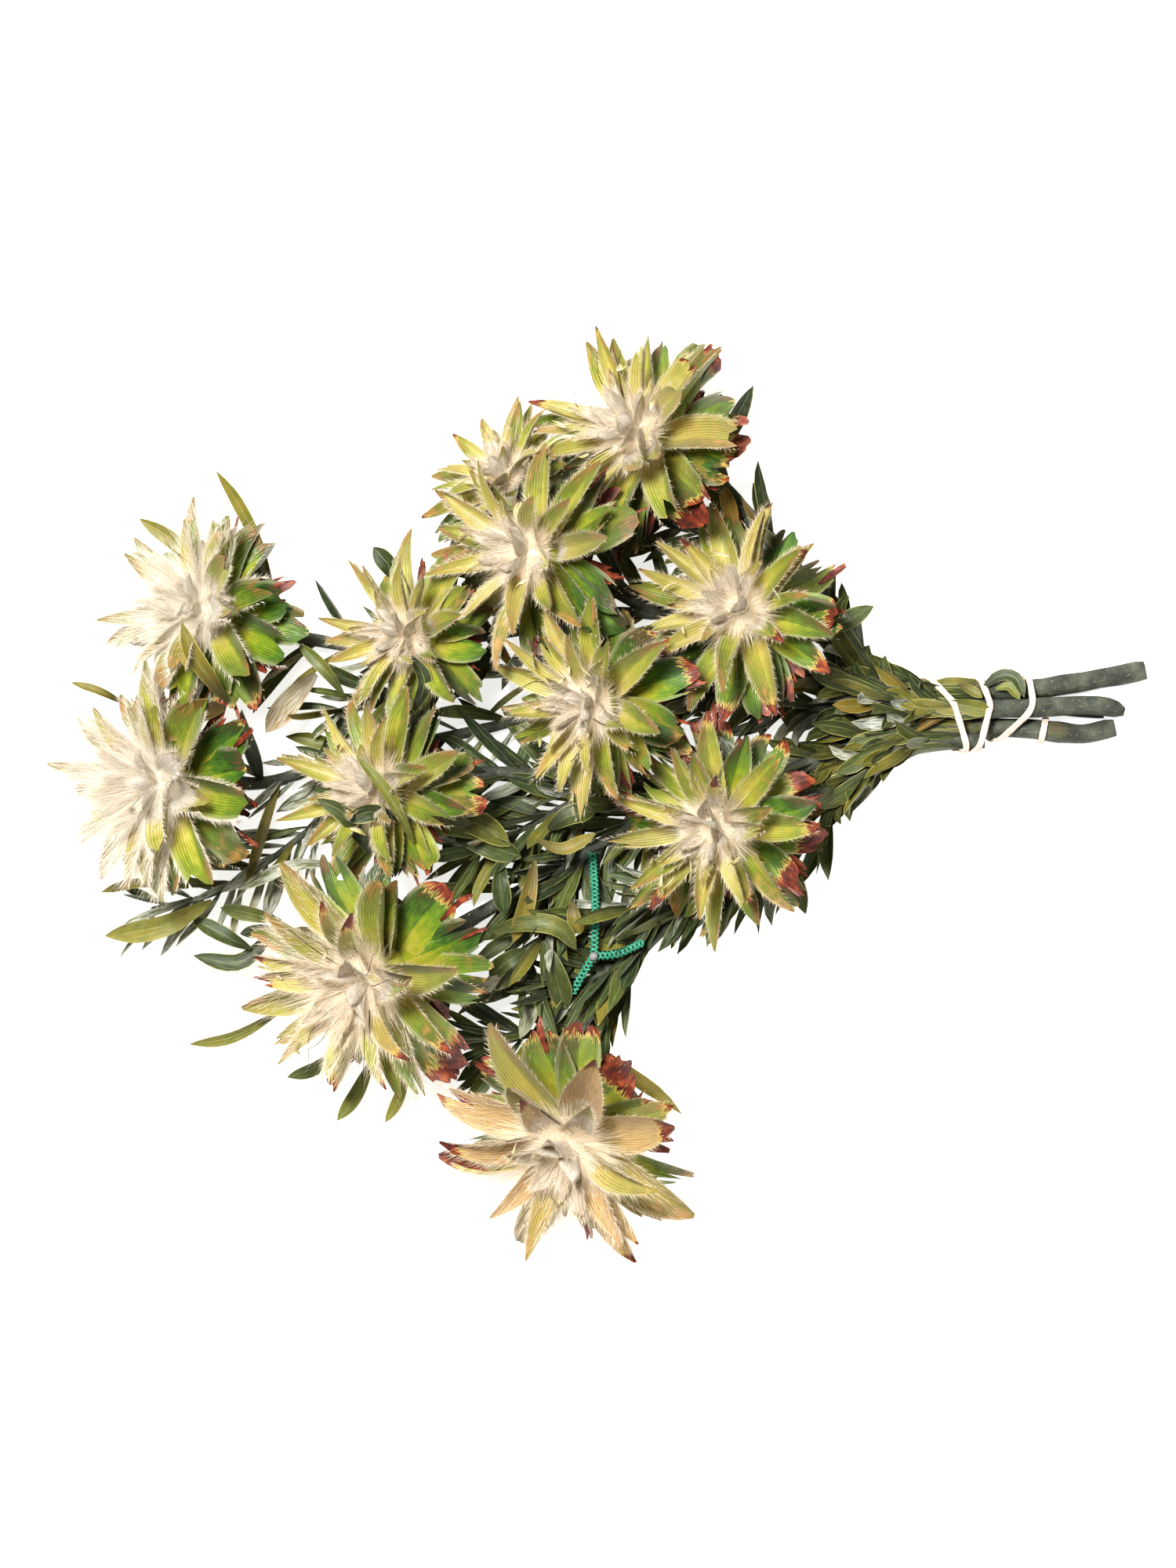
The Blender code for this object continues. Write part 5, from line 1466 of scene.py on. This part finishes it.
def leaf_surface(group):
    """Leaves: dull green to olive and ochre, with a pale midrib, thin yellow margins and painted
    shade.
    """
    work = Surface("leaf_fibre")
    facts = work.facts()
    _, streaks, mottle = work.fibres(group, facts, 30.0)
    hue = work.sway(facts.tone, mottle, 0.5)
    colour = work.ramp(hue, (0.0, 42, 58, 38), (0.22, 70, 88, 50), (0.44, 92, 104, 46),
                       (0.64, 122, 122, 46), (0.84, 152, 138, 58), (1.0, 166, 124, 62))
    # The red value says how dark a leaf is: it turns the colour darker and more olive, partly the
    # leaf's own hue and partly painted shade under the heads and in the sheath.
    colour = work.blend(facts.red, colour, rgb(214, 204, 166), "MULTIPLY")
    colour = work.tint(colour, work.between(streaks, 0.45, 0.75), (156, 160, 118), 0.22)
    silver = work.times(facts.tan, work.between(streaks, 0.30, 0.60))
    colour = work.tint(colour, silver, (200, 200, 188), 0.8)
    rim = work.times(work.between(facts.edge, 0.86, 1.0), work.plus(0.12, facts.red, 0.6))
    colour = work.tint(colour, rim, (206, 198, 122))
    vein = work.times(work.between(work.maths("ABSOLUTE", facts.across), 0.05, 0.0), 0.32)
    colour = work.tint(colour, vein, (164, 168, 112))
    colour = work.tint(colour, facts.under, (142, 148, 112), 0.30)
    # Painted shade: a leaf darkens towards its base, where other leaves cover it, the more the
    # darker the leaf is.
    deep = work.times(facts.red, work.between(facts.share, 0.62, 0.10))
    colour = work.tint(colour, deep, (22, 24, 14), 0.72)
    bump = work.maths("ADD", work.times(vein, -0.8), streaks)
    return work.done(colour, 0.5, bump, 0.3, 0.10, sheen_weight=0.12)


def wool_surface(name, *stops):
    """Wool: cream hairs that let light through and glow faintly in their own colour, a painted
    light.
    """
    work = Surface(name)
    colour = work.ramp(work.facts().draw, *stops)
    # Painted light: the hairs glow faintly in their own colour, in place of light scattered within
    # the fluff.
    work.tree.links.new(colour, work.shader["Emission Color"])
    return work.done(colour, 0.7, glow=0.35, emission_strength=0.16)


def bark_surface():
    """Bark: dark mottled grey-green with pale flecks, streaked along the stem."""
    work = Surface("stem_bark")
    facts, place = work.facts(), work.place()
    coarse, fine = work.noise(place, 120.0, 5.0), work.noise(place, 700.0, 3.0)
    grain = work.noise(work.vector(work.times(facts.across, 7.0), facts.along), 1.6, 3.0)
    colour = work.ramp(coarse, (0.30, 44, 46, 40), (0.50, 70, 74, 62), (0.70, 96, 98, 82))
    colour = work.tint(colour, work.between(grain, 0.50, 0.68), (72, 70, 48), 0.45)
    colour = work.tint(colour, work.between(fine, 0.60, 0.72), (156, 150, 130), 0.4)
    scar = work.put("VectorMath", {0: place, 1: SCAR * MM}, operation="DISTANCE").outputs["Value"]
    scar = work.sway(work.sway(scar, coarse, 0.014), fine, 0.006)
    colour = work.tint(colour, work.between(scar, 0.0060, 0.0020), (104, 106, 64), 0.4)
    colour = work.tint(colour, work.between(scar, 0.0020, 0.0004), (92, 70, 50), 0.4)
    colour = work.tint(colour, work.between(facts.edge, 0.04, 0.14), (150, 160, 116))
    bump = work.maths("ADD", work.times(grain, 1.2), fine)
    return work.done(colour, 0.75, bump, 0.5)


def plain_surface(name, colour, other, roughness, height):
    """A soft surface of one colour with a fine mottle of another."""
    work = Surface(name)
    grain = work.noise(work.place(), 900.0, 4.0)
    mixed = work.blend(work.between(grain, 0.40, 0.70), rgb(*colour), rgb(*other))
    return work.done(mixed, roughness, grain, height)


# The view

def make_view():
    """Set the camera straight above, the floor, the world and the lamps."""
    scene = bpy.context.scene
    scene.view_settings.view_transform = "Standard"
    scene.view_settings.look = "Medium High Contrast"
    lens = bpy.data.cameras.new("camera")
    lens.lens = 300.0
    lens.sensor_width = 36.0
    lens.clip_end = 100.0
    scene.camera = linked("camera", lens)
    scene.camera.location = (FRAME_CENTRE[0] * MM, FRAME_CENTRE[1] * MM, CAMERA_HEIGHT)

    mesh = bpy.data.meshes.new("floor")
    corners = np.array(((-1, -1, 0), (1, -1, 0), (1, 1, 0), (-1, 1, 0))) * FLOOR_REACH
    mesh.from_pydata(corners.tolist(), [], [(0, 1, 2, 3)])
    work = Surface("floor_white")
    for name, value in FLOOR.items():
        work.shader[name].default_value = value
    mesh.materials.append(work.material)
    floor = linked("floor", mesh)

    scene.world = bpy.data.worlds.new("studio")
    scene.world.use_nodes = True
    sky = scene.world.node_tree.nodes["Background"].inputs
    sky["Color"].default_value = WHITE
    sky["Strength"].default_value = SKY_STRENGTH
    for name, place, size, power in LAMPS:
        light = bpy.data.lights.new(name, "AREA")
        light.size = size
        light.energy = power
        lamp = linked(name, light)
        lamp.location = place
        lamp.rotation_euler = (-Vector(place)).to_track_quat("-Z", "Y").to_euler()


def build_scene():
    """Make every piece over its node."""
    group = fibre_group()
    surfaces = {
        "bract": bract_surface(group),
        "leaf": leaf_surface(group),
        "wool": wool_surface("bract_wool", (0.0, 206, 192, 166), (0.30, 230, 218, 196),
                             (0.60, 244, 235, 217), (1.0, 253, 248, 238)),
        "silk": wool_surface("bract_silk", (0.0, 210, 200, 182), (0.30, 232, 224, 209),
                             (0.60, 243, 238, 227), (1.0, 252, 249, 243)),
        "bark": bark_surface(),
        "rubber": plain_surface("rubber_cream", (220, 202, 188), (198, 172, 156), 0.5, 0.05),
        "knot": plain_surface("net_knot_grey", (150, 150, 146), (118, 120, 118), 0.6, 0.1),
        "thread": plain_surface("dry_thread", (70, 50, 34), (44, 34, 26), 0.6, 0.0),
        "net": plain_surface("net_green", (44, 124, 98), (84, 172, 140), 0.5, 0.1),
    }
    middles = settle_heads()
    shoots = {(branch, shoot.name): shoot_rings(shoot, middles)
              for branch, routes in BRANCHES.items() for shoot in routes}
    for name in HEADS:
        make_head(name, middles, surfaces)
    head_trees = [node_tree(name) for name in HEADS]
    for name in BRANCHES:
        make_branch(name, shoots, head_trees, surfaces)
    for name in BANDS:
        make_band(name, shoots, surfaces)
    make_net(surfaces)
    make_view()


build_scene()
